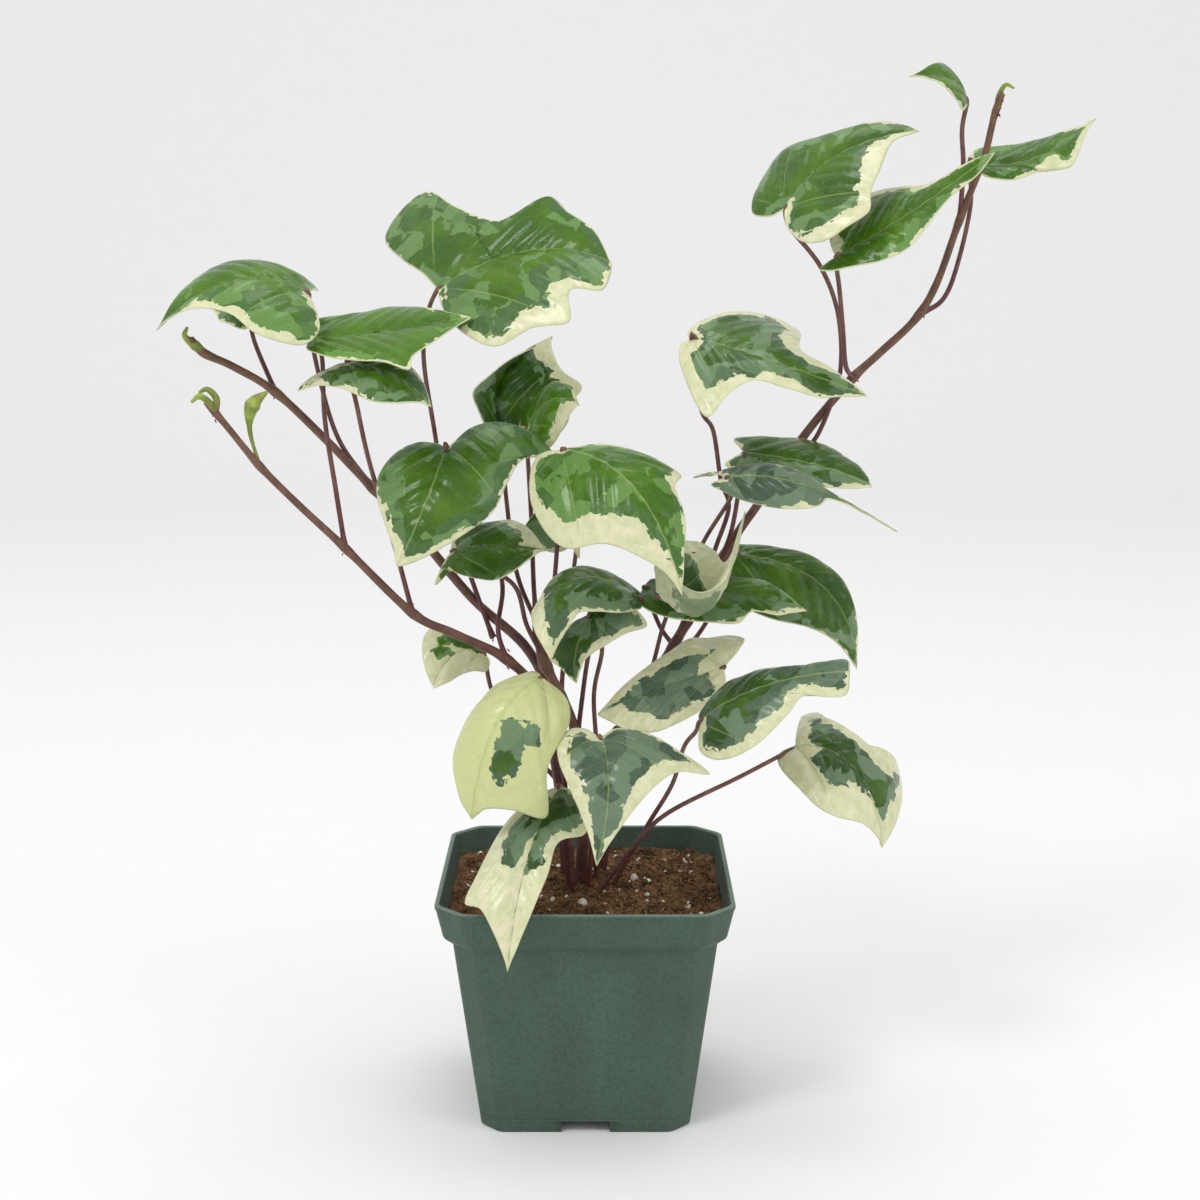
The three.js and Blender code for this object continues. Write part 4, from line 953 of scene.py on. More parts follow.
def ivy_leaf_material(name, sizes, under):
    """Living ivy leaf. The upper face has a waxy cuticle, so it shines in broad soft patches, over cream,
    grey-green and green zones with torn borders. The under face is paler and duller, with raised veins."""
    shine = dict(Roughness=0.6) if under else dict(Coat_Weight=0.35, Coat_Roughness=0.14)
    made, tree, shader = new_material(name, IOR=1.42, Specular_IOR_Level=0.22, **shine)
    names = ("bright", "pale", "rim", "cream", "grey", "vein_left", "vein_right", "basal_left", "basal_right")
    value = {n: add(tree, "ShaderNodeAttribute", attribute_name=n).outputs["Fac"] for n in names}
    place = add(tree, "ShaderNodeTexCoord").outputs["Object"]
    plane = add(tree, "ShaderNodeUVMap", uv_map="leaf_plane").outputs["UV"]
    axes = add(tree, "ShaderNodeSeparateXYZ", {0: plane})
    x = sums(tree, "MULTIPLY", axes.outputs["X"], UV_MM)
    y = sums(tree, "MULTIPLY", axes.outputs["Y"], UV_MM)

    # Patterns over the blade. Each scale is one over the pattern's real size in metres.
    wisp = add(tree, "ShaderNodeTexNoise", {"Vector": place},
               {"Scale": 1 / 0.0035, "Detail": 5.0, "Roughness": 0.65})
    drift = add(tree, "ShaderNodeTexNoise", {"Vector": place}, {"Scale": 1 / 0.014, "Detail": 3.0})
    bent = add(tree, "ShaderNodeVectorMath", {0: wisp.outputs["Color"]}, {1: (0.0022,) * 3},
               operation="MULTIPLY")
    bent = add(tree, "ShaderNodeVectorMath", {0: place, 1: bent.outputs[0]}, operation="ADD").outputs[0]
    scrap = add(tree, "ShaderNodeTexVoronoi", {"Vector": bent}, {"Scale": 1 / 0.0032})
    patch = add(tree, "ShaderNodeTexVoronoi", {"Vector": bent}, {"Scale": 1 / 0.0075})
    scrap_value = add(tree, "ShaderNodeSeparateColor", {0: scrap.outputs["Color"]}).outputs["Red"]
    patch_value = add(tree, "ShaderNodeSeparateColor", {0: patch.outputs["Color"]}).outputs["Red"]

    # Where the zones lie: the margin widths, torn by scraps, patches and wisps.
    torn_wisps = sums(tree, "MULTIPLY", wisp.outputs["Fac"], 2.6)
    torn = sums(tree, "ADD", sums(tree, "MULTIPLY", scrap_value, 1.6), torn_wisps)
    torn = sums(tree, "ADD", torn, sums(tree, "MULTIPLY", drift.outputs["Fac"], 9.0))
    cream = sums(tree, "ADD", value["cream"], torn, CREAM_SHIFT)
    cream_zone = step_up(tree, cream, -0.12, 0.12)
    wild_drift = sums(tree, "MULTIPLY", drift.outputs["Fac"], 16.0)
    wild = sums(tree, "ADD", sums(tree, "MULTIPLY", patch_value, 7.0), wild_drift)
    grey = sums(tree, "ADD", value["grey"], wild, sums(tree, "MULTIPLY", scrap_value, 2.0), GREY_SHIFT)
    grey_zone = step_up(tree, grey, -0.25, 0.25)
    edge_wisps = sums(tree, "MULTIPLY", wisp.outputs["Fac"], -0.5)
    edge_zone = step_up(tree, sums(tree, "ADD", value["rim"], edge_wisps), 0.28, 0.0)

    # Veins: the midrib, two each side from the petiole, then a feather of fine ones.
    left_half = sums(tree, "LESS_THAN", y, 0.0)
    right_half = sums(tree, "GREATER_THAN", y, 0.0)
    inner = step_up(tree, value["rim"], 0.5, 9.0)
    strokes = [step_up(tree, sums(tree, "ABSOLUTE", y, 0.0), 0.55, 0.12)]
    for vein, half in (("vein_left", left_half), ("vein_right", right_half), ("basal_left", left_half),
                       ("basal_right", right_half)):
        line = step_up(tree, sums(tree, "ABSOLUTE", value[vein], 0.0), 0.5, 0.08)
        strokes.append(sums(tree, "MULTIPLY", line, half, inner))
    main_vein = sums(tree, "MAXIMUM", *strokes)
    feather = sums(tree, "SUBTRACT", x, sums(tree, "MULTIPLY", sums(tree, "ABSOLUTE", y, 0.0), FEATHER_LEAN))
    feather = sums(tree, "ADD", feather, sums(tree, "MULTIPLY", drift.outputs["Fac"], 3.0), right_half)
    feather = step_up(tree, sums(tree, "PINGPONG", feather, FEATHER_STEP / 2), 0.34, 0.05)
    net = add(tree, "ShaderNodeTexVoronoi", {"Vector": bent}, {"Scale": 1 / 0.0024},
              feature="DISTANCE_TO_EDGE")
    net_line = step_up(tree, net.outputs["Distance"], 0.07, 0.01)
    faint_net = sums(tree, "MULTIPLY", net_line, 0.3)
    fine_vein = sums(tree, "MAXIMUM", sums(tree, "MULTIPLY", feather, 0.55), faint_net)

    # Colours.
    green = blend(tree, value["bright"], sizes.dark_green, sizes.bright_green)
    shade = blend(tree, step_up(tree, drift.outputs["Fac"], 0.3, 0.75), "#1a3010", "#6a9012")
    green = blend(tree, 0.3, green, shade)
    ash_old = blend(tree, step_up(tree, patch_value, 0.35, 0.65), "#46574a", "#6d7f6c")
    ash_young = blend(tree, step_up(tree, patch_value, 0.35, 0.65), "#46702a", "#64903c")
    ash = blend(tree, value["bright"], ash_old, ash_young)
    colour = blend(tree, grey_zone, green, ash)
    milk = blend(tree, step_up(tree, wisp.outputs["Fac"], 0.35, 0.7), sizes.cream, "#ccd09f")
    milk = blend(tree, value["pale"], milk, sizes.pale_green)
    fine_tint = sums(tree, "MULTIPLY", fine_vein, 0.22)
    colour = blend(tree, fine_tint, colour, "#86a95a")
    colour = blend(tree, cream_zone, colour, milk)
    colour = blend(tree, edge_zone, colour, "#d6d8ac")
    main_tint = sums(tree, "MULTIPLY", main_vein, 0.36)
    colour = blend(tree, main_tint, colour, "#a9c070")
    if under:
        colour = blend(tree, 0.5, colour, "#a9b497")
    tree.links.new(colour, shader.inputs["Base Color"])
    if not under:
        gloss = step_up(tree, drift.outputs["Fac"], 0.25, 0.8)
        rough = add(tree, "ShaderNodeMapRange", {"Value": gloss}, {"To Min": 0.26, "To Max": 0.44})
        tree.links.new(rough.outputs[0], shader.inputs["Roughness"])

    # Relief in mm: veins sunk above and raised below, the lamina swollen between the nets.
    dome = step_up(tree, net.outputs["Distance"], 0.0, 0.45)
    crumple = add(tree, "ShaderNodeTexNoise", {"Vector": place},
                  {"Scale": 1 / 0.007, "Detail": 1.5, "Distortion": 0.8})
    crumple = sums(tree, "MULTIPLY", crumple.outputs["Fac"], 1.5)
    rough_skin = sums(tree, "MULTIPLY", wisp.outputs["Fac"], 0.12)
    relief = sums(tree, "ADD", sums(tree, "MULTIPLY", dome, 0.07), rough_skin)
    relief = sums(tree, "ADD", relief, crumple, sums(tree, "MULTIPLY", drift.outputs["Fac"], 1.6))
    depth = 0.22 if under else -0.25
    relief = sums(tree, "ADD", relief, sums(tree, "MULTIPLY", main_vein, depth))
    relief = sums(tree, "ADD", relief, sums(tree, "MULTIPLY", feather, depth / 3))
    bump = add(tree, "ShaderNodeBump", {"Height": relief}, {"Strength": 0.8, "Distance": MM})
    tree.links.new(bump.outputs[0], shader.inputs["Normal"])
    return made


def stalk_material(name, young, middle, old, rough):
    """Living bark and petiole skin: smooth and faintly waxy, with fine pale breathing pores and blotches
    that run from the young colour at the far end to the old colour at the foot."""
    made, tree, shader = new_material(name, Roughness=rough, IOR=1.45, Coat_Weight=0.12, Coat_Roughness=0.35)
    run = add(tree, "ShaderNodeAttribute", attribute_name="run").outputs["Fac"]
    place = add(tree, "ShaderNodeTexCoord").outputs["Object"]
    blotch = add(tree, "ShaderNodeTexNoise", {"Vector": place}, {"Scale": 1 / 0.004, "Detail": 4.0})
    pore = add(tree, "ShaderNodeTexVoronoi", {"Vector": place}, {"Scale": 1 / 0.0011})
    grain = add(tree, "ShaderNodeTexNoise", {"Vector": place}, {"Scale": 1 / 0.0006, "Detail": 3.0})
    place_on = sums(tree, "ADD", run, sums(tree, "MULTIPLY", blotch.outputs["Fac"], 0.35), -0.17)
    ramp = add(tree, "ShaderNodeValToRGB", {"Fac": place_on})
    ramp.color_ramp.elements[0].color = linear(young)
    ramp.color_ramp.elements[1].color = linear(old)
    ramp.color_ramp.elements.new(0.5).color = linear(middle)
    spots = sums(tree, "MULTIPLY", step_up(tree, pore.outputs["Distance"], 0.3, 0.16), 0.45)
    colour = blend(tree, spots, ramp.outputs[0], "#8d6c58")
    stained = blend(tree, 0.35, colour, "#2c1914")
    colour = blend(tree, step_up(tree, blotch.outputs["Fac"], 0.62, 0.4), stained, colour)
    tree.links.new(colour, shader.inputs["Base Color"])
    relief = sums(tree, "ADD", sums(tree, "MULTIPLY", grain.outputs["Fac"], 0.5), spots)
    bump = add(tree, "ShaderNodeBump", {"Height": relief}, {"Strength": 0.5, "Distance": 0.15 * MM})
    tree.links.new(bump.outputs[0], shader.inputs["Normal"])
    return made


def pot_material(sizes):
    """Injection-moulded polypropylene: matt and slightly waxy, with a fine spark-eroded grain, a cloudy
    flow through the colour, a few dark specks and a rim that is paler at its top."""
    made, tree, shader = new_material("moulded_polypropylene_green", IOR=1.49, Specular_IOR_Level=0.4)
    place = add(tree, "ShaderNodeTexCoord").outputs["Object"]
    # A real mould's grain is about 0.1 mm. It is drawn at 1.1 mm here, so that it shows.
    cloud = add(tree, "ShaderNodeTexNoise", {"Vector": place}, {"Scale": 1 / 0.03, "Detail": 4.0})
    grain = add(tree, "ShaderNodeTexNoise", {"Vector": place}, {"Scale": 1 / 0.0011, "Detail": 3.0})
    flow_map = add(tree, "ShaderNodeMapping", {"Vector": place}, {"Scale": (90.0, 90.0, 9.0)})
    flow = add(tree, "ShaderNodeTexNoise", {"Vector": flow_map.outputs[0]}, {"Scale": 1.0, "Detail": 3.0})
    speck = add(tree, "ShaderNodeTexVoronoi", {"Vector": place}, {"Scale": 1 / 0.0045})
    body = blend(tree, step_up(tree, cloud.outputs["Fac"], 0.3, 0.7), sizes.pot_green, "#485e50")
    streak = sums(tree, "MULTIPLY", step_up(tree, flow.outputs["Fac"], 0.5, 0.75), 0.18)
    body = blend(tree, streak, body, "#5f7467")
    pitted = sums(tree, "MULTIPLY", step_up(tree, grain.outputs["Fac"], 0.4, 0.65), 0.5)
    body = blend(tree, pitted, body, "#33443a")
    specks = sums(tree, "MULTIPLY", step_up(tree, speck.outputs["Distance"], 0.09, 0.04), 0.25)
    body = blend(tree, specks, body, "#2c3a31")
    height = add(tree, "ShaderNodeSeparateXYZ", {0: place}).outputs["Z"]
    # The top 0.8 mm of the rim is painted paler than the body.
    paler_rim_top = sums(tree, "MULTIPLY", step_up(tree, height, (POT_TOP - 0.8) * MM, POT_TOP * MM), 0.6)
    body = blend(tree, paler_rim_top, body, "#7f9486")
    tree.links.new(body, shader.inputs["Base Color"])
    rough = add(tree, "ShaderNodeMapRange", {"Value": cloud.outputs["Fac"]}, {"To Min": 0.5, "To Max": 0.66})
    tree.links.new(rough.outputs[0], shader.inputs["Roughness"])
    relief = sums(tree, "ADD", grain.outputs["Fac"], sums(tree, "MULTIPLY", cloud.outputs["Fac"], 2.0))
    bump = add(tree, "ShaderNodeBump", {"Height": relief}, {"Strength": 0.8, "Distance": 0.25 * MM})
    tree.links.new(bump.outputs[0], shader.inputs["Normal"])
    return made


def crumb_material(name, dark, light, size, rough=0.95):
    """Dry loose matter: fully matt, two tones broken up at the size of its own grain."""
    made, tree, shader = new_material(name, Roughness=rough, IOR=1.35, Specular_IOR_Level=0.2)
    place = add(tree, "ShaderNodeTexCoord").outputs["Object"]
    grain = add(tree, "ShaderNodeTexNoise", {"Vector": place},
                {"Scale": 1 / size, "Detail": 5.0, "Roughness": 0.7})
    tone = add(tree, "ShaderNodeTexNoise", {"Vector": place}, {"Scale": 1 / (size * 6), "Detail": 2.0})
    broad = sums(tree, "MULTIPLY", tone.outputs["Fac"], 0.5)
    both = sums(tree, "ADD", sums(tree, "MULTIPLY", grain.outputs["Fac"], 0.6), broad)
    tree.links.new(blend(tree, step_up(tree, both, 0.4, 0.7), dark, light), shader.inputs["Base Color"])
    bump = add(tree, "ShaderNodeBump", {"Height": grain.outputs["Fac"]},
               {"Strength": 0.9, "Distance": size * 0.5})
    tree.links.new(bump.outputs[0], shader.inputs["Normal"])
    return made


# ---- Settings ---------------------------------------------------------------------------------------

def length(name, text, default):
    """A length property, in metres."""
    return bpy.props.FloatProperty(name=name, description=text, default=default, unit="LENGTH",
                                   subtype="DISTANCE", precision=5)


def colour(name, text, default):
    """A hex colour property."""
    return bpy.props.StringProperty(name=name, description=text, default=default)


def count_of(name, text, default):
    """How many of a thing lie on a square metre of soil."""
    return bpy.props.FloatProperty(name=name, description=text, default=default, min=0.0)


class IvyLeafSettings(bpy.types.PropertyGroup):
    """Sizes and colours of the leaves."""

    leaf_thickness: length("Thickness", "Thickness of a leaf blade", 0.0005)
    ripple: length("Ripple", "How far a leaf's edge waves up and down", 0.0015)
    pucker: length("Pucker", "How far the blade swells between its veins", 0.0007)
    rib: length("Rib", "How far the midrib stands out underneath", 0.0004)
    dark_green: colour("Old green", "Green of an old leaf", "#23401a")
    bright_green: colour("Young green", "Green of a young leaf", "#487a08")
    cream: colour("Cream", "Colour of the cream margins", "#dfddb9")
    pale_green: colour("Pale green", "Colour of the palest leaf", "#c9cf90")


class IvyStalkSettings(bpy.types.PropertyGroup):
    """Sizes and colours of the vines and petioles."""

    petiole_radius: length("Petiole radius", "Radius of a petiole at its middle", 0.0008)
    joint_swell: bpy.props.FloatProperty(
        name="Joint swell", description="How much thicker a vine is at a joint",
        default=0.28, min=0.0, max=1.0, subtype="FACTOR",
    )
    vine_brown: colour("Vine", "Colour of the vines", "#6b4639")
    petiole_red: colour("Petiole", "Colour of the petioles", "#6e4540")


class IvyPotSettings(bpy.types.PropertyGroup):
    """Sizes and colours of the pot and its soil."""

    pot_green: colour("Pot", "Colour of the pot", "#3f5346")
    perlite_density: count_of("Perlite", "Perlite grains on a square metre of soil", 7500.0)
    crumb_density: count_of("Crumbs", "Peat crumbs on a square metre of soil", 260000.0)
    fibre_density: count_of("Fibres", "Peat fibres on a square metre of soil", 170000.0)


# ---- Stalks -----------------------------------------------------------------------------------------


def stalk_line(points):
    """A smooth line through points in mm, evenly stepped."""
    return even(catmull([np.array(p, float) for p in points], 10), STALK_STEP)


def petiole_shell(shell, leaf, surface, radius):
    """A petiole from just under the blade down to its joint, a little thicker at both ends."""
    ahead = surface.forward(np.array([0.0]))[0]
    start = surface.base + UNDER_BLADE * ahead
    points = [start, leaf["base"], *leaf["petiole"]]
    if not leaf["joins"]:
        x, y, z = points[-1]
        points.append((x, y, z - BURIED))
    line, run = stalk_line(points)
    total = run[-1]
    at_joint = np.exp(-(((total - run) / PETIOLE_SWELL) ** 2))
    at_blade = np.exp(-((run / PETIOLE_SWELL) ** 2))
    radii = radius * (1 + 0.12 * run / total + 0.45 * at_joint)
    radii *= 1 + 0.2 * at_blade
    radii[:2] *= (0.55, 0.8)
    tube(shell, line, radii, 10, 2, run=0.15 + 0.7 * run / total)


def vine_shell(name, stem, swell_by):
    """A vine that swells at each joint where a petiole leaves it."""
    shell = Shell()
    x, y, z = stem["path"][0]
    line, run = stalk_line([(x, y, z - BURIED), *stem["path"]])
    share = run / run[-1]
    radii = stem["foot"] + (stem["end"] - stem["foot"]) * share
    joints = [leaf["petiole"][-1] for leaf in LEAVES.values() if leaf["joins"] == name]
    joints += [bud["paths"][0][0] for bud in BUDS.values() if bud["joins"] == name]
    for joint in joints:
        away = np.linalg.norm(line - np.array(joint), axis=1)
        radii *= 1 + swell_by * np.exp(-((away / JOINT_REACH) ** 2))
    wander = np.array([noise.noise(Vector(p) * 0.12) for p in line])
    radii *= 1 + 0.06 * wander
    tube(shell, line, radii, 16, 0, run=1 - share)
    for joint in joints:
        root_stubs(shell, np.array(joint, float), stem["end"])
    return shell


def root_stubs(shell, joint, radius):
    """The short aerial roots that stand out under a joint."""
    draw = np.random.default_rng(int(abs(joint).sum() * 7))
    for _ in range(ROOTS):
        lean = draw.normal(size=3) * (0.6, 0.6, 0.25) - (0, 0, 0.5)
        lean /= np.linalg.norm(lean)
        start = joint + draw.normal(size=3) * (0.4, 0.4, 1.6)
        line = np.array([start + lean * radius * k for k in ROOT_REACH])
        tube(shell, line, np.array(ROOT_RADII), 6, 0, run=0.9)


# ---- Pot --------------------------------------------------------------------------------------------


def cut_square(steps):
    """A square of half width 1 with cut corners whose ends are rounded, as (x, y) points."""
    corner = 1 - CORNER_SHARE
    before = corner - CORNER_SOFT
    soft = CORNER_SOFT * 0.7
    points = []
    for quarter in range(4):
        turn = quarter * math.pi / 2
        side = [(1, y) for y in np.linspace(0, before, steps)]
        for start, pull, end in (
            ((1, before), (1, corner), (1 - soft, corner + soft)),
            ((corner + soft, 1 - soft), (corner, 1), (before, 1)),
        ):
            start, pull, end = np.array(start), np.array(pull), np.array(end)
            side += [tuple(bend(start, pull, end, t)) for t in np.linspace(0, 1, 6)[1:]]
            if start[0] == 1:
                straight = np.linspace(0, CORNER_SHARE - 2 * soft, 5)[1:]
                side += [(1 - soft - along, corner + soft + along) for along in straight]
        side += [(x, 1) for x in np.linspace(before, 0, steps)[1:-1]]
        for x, y in side:
            points.append((x * math.cos(turn) - y * math.sin(turn), x * math.sin(turn) + y * math.cos(turn)))
    return np.array(points)


def rounded(profile, radius, steps=4):
    """A profile of (half width, height) with each corner inside it rounded off."""
    points = [np.array(p, float) for p in profile]
    made = [points[0]]
    for before, corner, after in zip(points, points[1:], points[2:]):
        inward, outward = before - corner, after - corner
        reach = min(radius, np.linalg.norm(inward) * 0.45, np.linalg.norm(outward) * 0.45)
        start = corner + inward / np.linalg.norm(inward) * reach
        end = corner + outward / np.linalg.norm(outward) * reach
        for t in np.linspace(0, 1, steps):
            made.append(bend(start, corner, end, t))
    return [*made, points[-1]]


def lathed(shell, profile, outline):
    """A closed shell: the profile carried round the outline, from the axis back to the axis."""
    count, rows = len(outline), profile[1:-1]
    points = [np.column_stack([outline * half, np.full(count, height)]) for half, height in rows]
    points = np.concatenate([*points, [(0, 0, profile[0][1]), (0, 0, profile[-1][1])]])
    faces = []
    low, high = len(points) - 2, len(points) - 1
    for k in range(count):
        n = (k + 1) % count
        faces.append((low, n, k))
        for row in range(len(rows) - 1):
            a, b = row * count + k, row * count + n
            faces.append((a, b, b + count, a + count))
        top = (len(rows) - 1) * count
        faces.append((high, top + k, top + n))
    shell.grow(points, faces, 0)


def pot_profile():
    """The pot's section from the underside of its foot pad round the rim to the floor inside."""
    lean = (BODY_HALF - FOOT_HALF) / BODY_TOP
    outer = [
        (0, 0), (PAD_HALF, 0), (PAD_HALF + WALL, FLOOR_LOW),
        (FOOT_HALF + lean * FLOOR_LOW - WALL, FLOOR_LOW), (FOOT_HALF - WALL, 0), (FOOT_HALF, 0),
        (FOOT_HALF + lean * GROOVE_LOW, GROOVE_LOW),
        (FOOT_HALF + lean * GROOVE_MIDDLE - GROOVE_DEPTH, GROOVE_MIDDLE),
        (FOOT_HALF + lean * (GROOVE_HIGH + 0.1), GROOVE_HIGH),
        (BODY_HALF - 0.1, BODY_TOP - 1), (BODY_HALF, BODY_TOP), (COLLAR_HALF, COLLAR_FOOT),
        (RIM_HALF - BEAD_OUT, POT_TOP - BEAD_LOW), (RIM_HALF, POT_TOP - BEAD_HIGH),
        (RIM_HALF, POT_TOP), (RIM_HALF - WALL - 0.3, POT_TOP),
    ]
    inner = [
        (COLLAR_HALF - WALL, COLLAR_FOOT + WALL / 2), (BODY_HALF - WALL, BODY_TOP + WALL / 2),
        (FOOT_HALF + lean * FLOOR_TOP - WALL, FLOOR_TOP), (PAD_HALF, FLOOR_TOP),
        (PAD_HALF - WALL, FLOOR_THICKNESS), (0, FLOOR_THICKNESS),
    ]
    return rounded(outer + inner, PROFILE_SOFT)


def box_shell(low, high):
    """A plain box, used only to cut with."""
    corners = [(x, y, z) for x in (low[0], high[0]) for y in (low[1], high[1]) for z in (low[2], high[2])]
    faces = [(0, 1, 3, 2), (4, 6, 7, 5), (0, 4, 5, 1), (2, 3, 7, 6), (0, 2, 6, 4), (1, 5, 7, 3)]
    shell = Shell()
    shell.grow(corners, faces, 0)
    return shell


def side_box(way, out, long, wide, low, high):
    """A box to cut one side of the pot with: its middle is out along the way, and it is long that way."""
    middle = way * out
    half = np.where(way != 0, long, wide) / 2
    return box_shell((*(middle - half), low), (*(middle + half), high))


def cut_away(made, shells):
    """Cuts each shell out of the object, and leaves a plain mesh."""
    for number, shell in enumerate(shells):
        cutter = make_mesh(f"cutter_{number}", shell, ())
        modifier = made.modifiers.new("cut", "BOOLEAN")
        modifier.object, modifier.operation, modifier.solver = cutter, "DIFFERENCE", "EXACT"
        settle(made)
        bpy.data.objects.remove(cutter)


def settle(made):
    """Turns the object with its modifiers into a plain mesh."""
    bpy.context.view_layer.update()
    shape = bpy.data.meshes.new_from_object(made.evaluated_get(bpy.context.evaluated_depsgraph_get()))
    made.modifiers.clear()
    made.data = shape


# ---- Soil -------------------------------------------------------------------------------------------


def soil_height(x, y):
    """The soil's level in mm: it rises to the stems and is rough all over."""
    out, heights = zip(*SOIL_SLOPE)
    level = float(np.interp(max(abs(x), abs(y)), out, heights))
    lumps = noise.fractal(Vector((x, y, 0)) / LUMP_WIDE, 0.8, 2.1, 5)
    grain = noise.noise(Vector((x, y, 5)) / GRAIN_WIDE)
    return level + LUMP_HIGH * lumps + GRAIN_HIGH * grain


def soil_shell(rings, outline):
    """The soil as a closed block whose top is a fine grid."""
    shell = Shell()
    count = len(outline)
    shares = np.linspace(0, 1, rings + 1)[1:]
    flare = (RIM_HALF - COLLAR_HALF) * (SOIL_EDGE - COLLAR_FOOT) / (POT_TOP - COLLAR_FOOT)
    half = COLLAR_HALF - WALL + flare
    flat = np.concatenate([outline * half * share for share in shares])
    top = [(x, y, soil_height(x, y)) for x, y in flat]
    lower = COLLAR_HALF - WALL - SOIL_GAP
    skirt = [(x * lower, y * lower, SOIL_FOOT) for x, y in outline]
    points = [*top, *skirt, (0, 0, soil_height(0, 0)), (0, 0, SOIL_FOOT)]
    faces = []
    for k in range(count):
        n = (k + 1) % count
        for row in range(rings):
            a, b = row * count + k, row * count + n
            faces.append((a, a + count, b + count, b))
        faces.append((len(points) - 2, k, n))
        last = rings * count
        faces.append((len(points) - 1, last + n, last + k))
    shell.grow(points, faces, 0)
    return shell


def scatter_tree(name, shape, material, seed):
    """Geometry Nodes that strew one rough shape over upward faces, each turned and sized by chance."""
    tree = bpy.data.node_groups.new(name, "GeometryNodeTree")
    for label, kind in (("Geometry", "NodeSocketGeometry"), ("Density", "NodeSocketFloat"),
                        ("Smallest", "NodeSocketVector"), ("Largest", "NodeSocketVector"),
                        ("Roughness", "NodeSocketFloat"), ("Tilt", "NodeSocketFloat"),
                        ("Reach", "NodeSocketFloat")):
        tree.interface.new_socket(label, in_out="INPUT", socket_type=kind)
    tree.interface.new_socket("Geometry", in_out="OUTPUT", socket_type="NodeSocketGeometry")
    given = add(tree, "NodeGroupInput").outputs
    facing = add(tree, "ShaderNodeSeparateXYZ", {0: add(tree, "GeometryNodeInputNormal").outputs[0]})
    upward = add(tree, "FunctionNodeCompare", {0: facing.outputs["Z"]}, {1: 0.5}, operation="GREATER_THAN")
    here = add(tree, "GeometryNodeInputPosition").outputs[0]
    away = add(tree, "ShaderNodeVectorMath", {0: here}, operation="ABSOLUTE")
    far = add(tree, "ShaderNodeSeparateXYZ", {0: away.outputs[0]}).outputs
    slant = sums(tree, "MULTIPLY", sums(tree, "ADD", far["X"], far["Y"]), 1 / (2 - CORNER_SHARE))
    inside = sums(tree, "LESS_THAN", sums(tree, "MAXIMUM", far["X"], far["Y"], slant), given["Reach"])
    chosen = sums(tree, "MULTIPLY", upward.outputs[0], inside)
    spots = add(tree, "GeometryNodeDistributePointsOnFaces",
                {"Mesh": given["Geometry"], "Selection": chosen, "Density": given["Density"]},
                {"Seed": seed})
    turn = add(tree, "ShaderNodeCombineXYZ", {"X": given["Tilt"], "Y": given["Tilt"]}, {"Z": 2 * math.pi})
    back = add(tree, "ShaderNodeVectorMath", {0: turn.outputs[0]}, {1: (-1, -1, 0)}, operation="MULTIPLY")
    spin = add(tree, "FunctionNodeRandomValue", {"Min": back.outputs[0], "Max": turn.outputs[0]},
               {"Seed": seed + 1}, data_type="FLOAT_VECTOR")
    size = add(tree, "FunctionNodeRandomValue", {"Min": given["Smallest"], "Max": given["Largest"]},
               {"Seed": seed + 2}, data_type="FLOAT_VECTOR")
    if shape == "grain":
        piece = add(tree, "GeometryNodeMeshIcoSphere", values={"Radius": 1.0, "Subdivisions": 2})
    else:
        piece = add(tree, "GeometryNodeMeshCylinder",
                    values={"Vertices": 5, "Side Segments": 4, "Radius": 1.0, "Depth": 2.0})
    placed = add(tree, "GeometryNodeInstanceOnPoints",
                 {"Points": spots.outputs["Points"], "Instance": piece.outputs[0],
                  "Rotation": spin.outputs[0], "Scale": size.outputs[0]})
    real = add(tree, "GeometryNodeRealizeInstances", {0: placed.outputs[0]})
    where = add(tree, "GeometryNodeInputPosition").outputs[0]
    warp = add(tree, "ShaderNodeTexNoise", {"Vector": where}, {"Scale": 1 / 0.0013, "Detail": 2.0})
    push = add(tree, "ShaderNodeVectorMath", {0: warp.outputs["Color"]}, {1: (0.5, 0.5, 0.5)},
               operation="SUBTRACT")
    push = add(tree, "ShaderNodeVectorMath", {0: push.outputs[0], "Scale": given["Roughness"]},
               operation="SCALE")
    bent = add(tree, "GeometryNodeSetPosition", {"Geometry": real.outputs[0], "Offset": push.outputs[0]})
    done = add(tree, "GeometryNodeSetMaterial", {0: bent.outputs[0]}, {"Material": material})
    add(tree, "NodeGroupOutput", {0: done.outputs[0]})
    return tree


def scatter(name, ground, material, seed, shape, inputs):
    """A plain mesh of everything that a scatter tree strews over the ground."""
    tree = scatter_tree(name, shape, material, seed)
    made = bpy.data.objects.new(name, ground.data.copy())
    bpy.context.scene.collection.objects.link(made)
    modifier = made.modifiers.new(name, "NODES")
    modifier.node_group = tree
    for item in tree.interface.items_tree:
        if item.in_out == "INPUT" and item.name in inputs:
            modifier[item.identifier] = inputs[item.name]
    settle(made)
    made.data.name = name
    made.data.polygons.foreach_set("use_smooth", [True] * len(made.data.polygons))
    made.data.update()
    return made


# ---- Operators --------------------------------------------------------------------------------------

LEAF_ATTRIBUTES = (
    "bright", "pale", "rim", "cream", "grey", "vein_left", "vein_right", "basal_left", "basal_right", "run",
)


def keep(made, node):
    """Parents the piece to the root body, and hides the CAD node that it stands for."""
    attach(made, "root")
    if node:
        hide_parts(node)


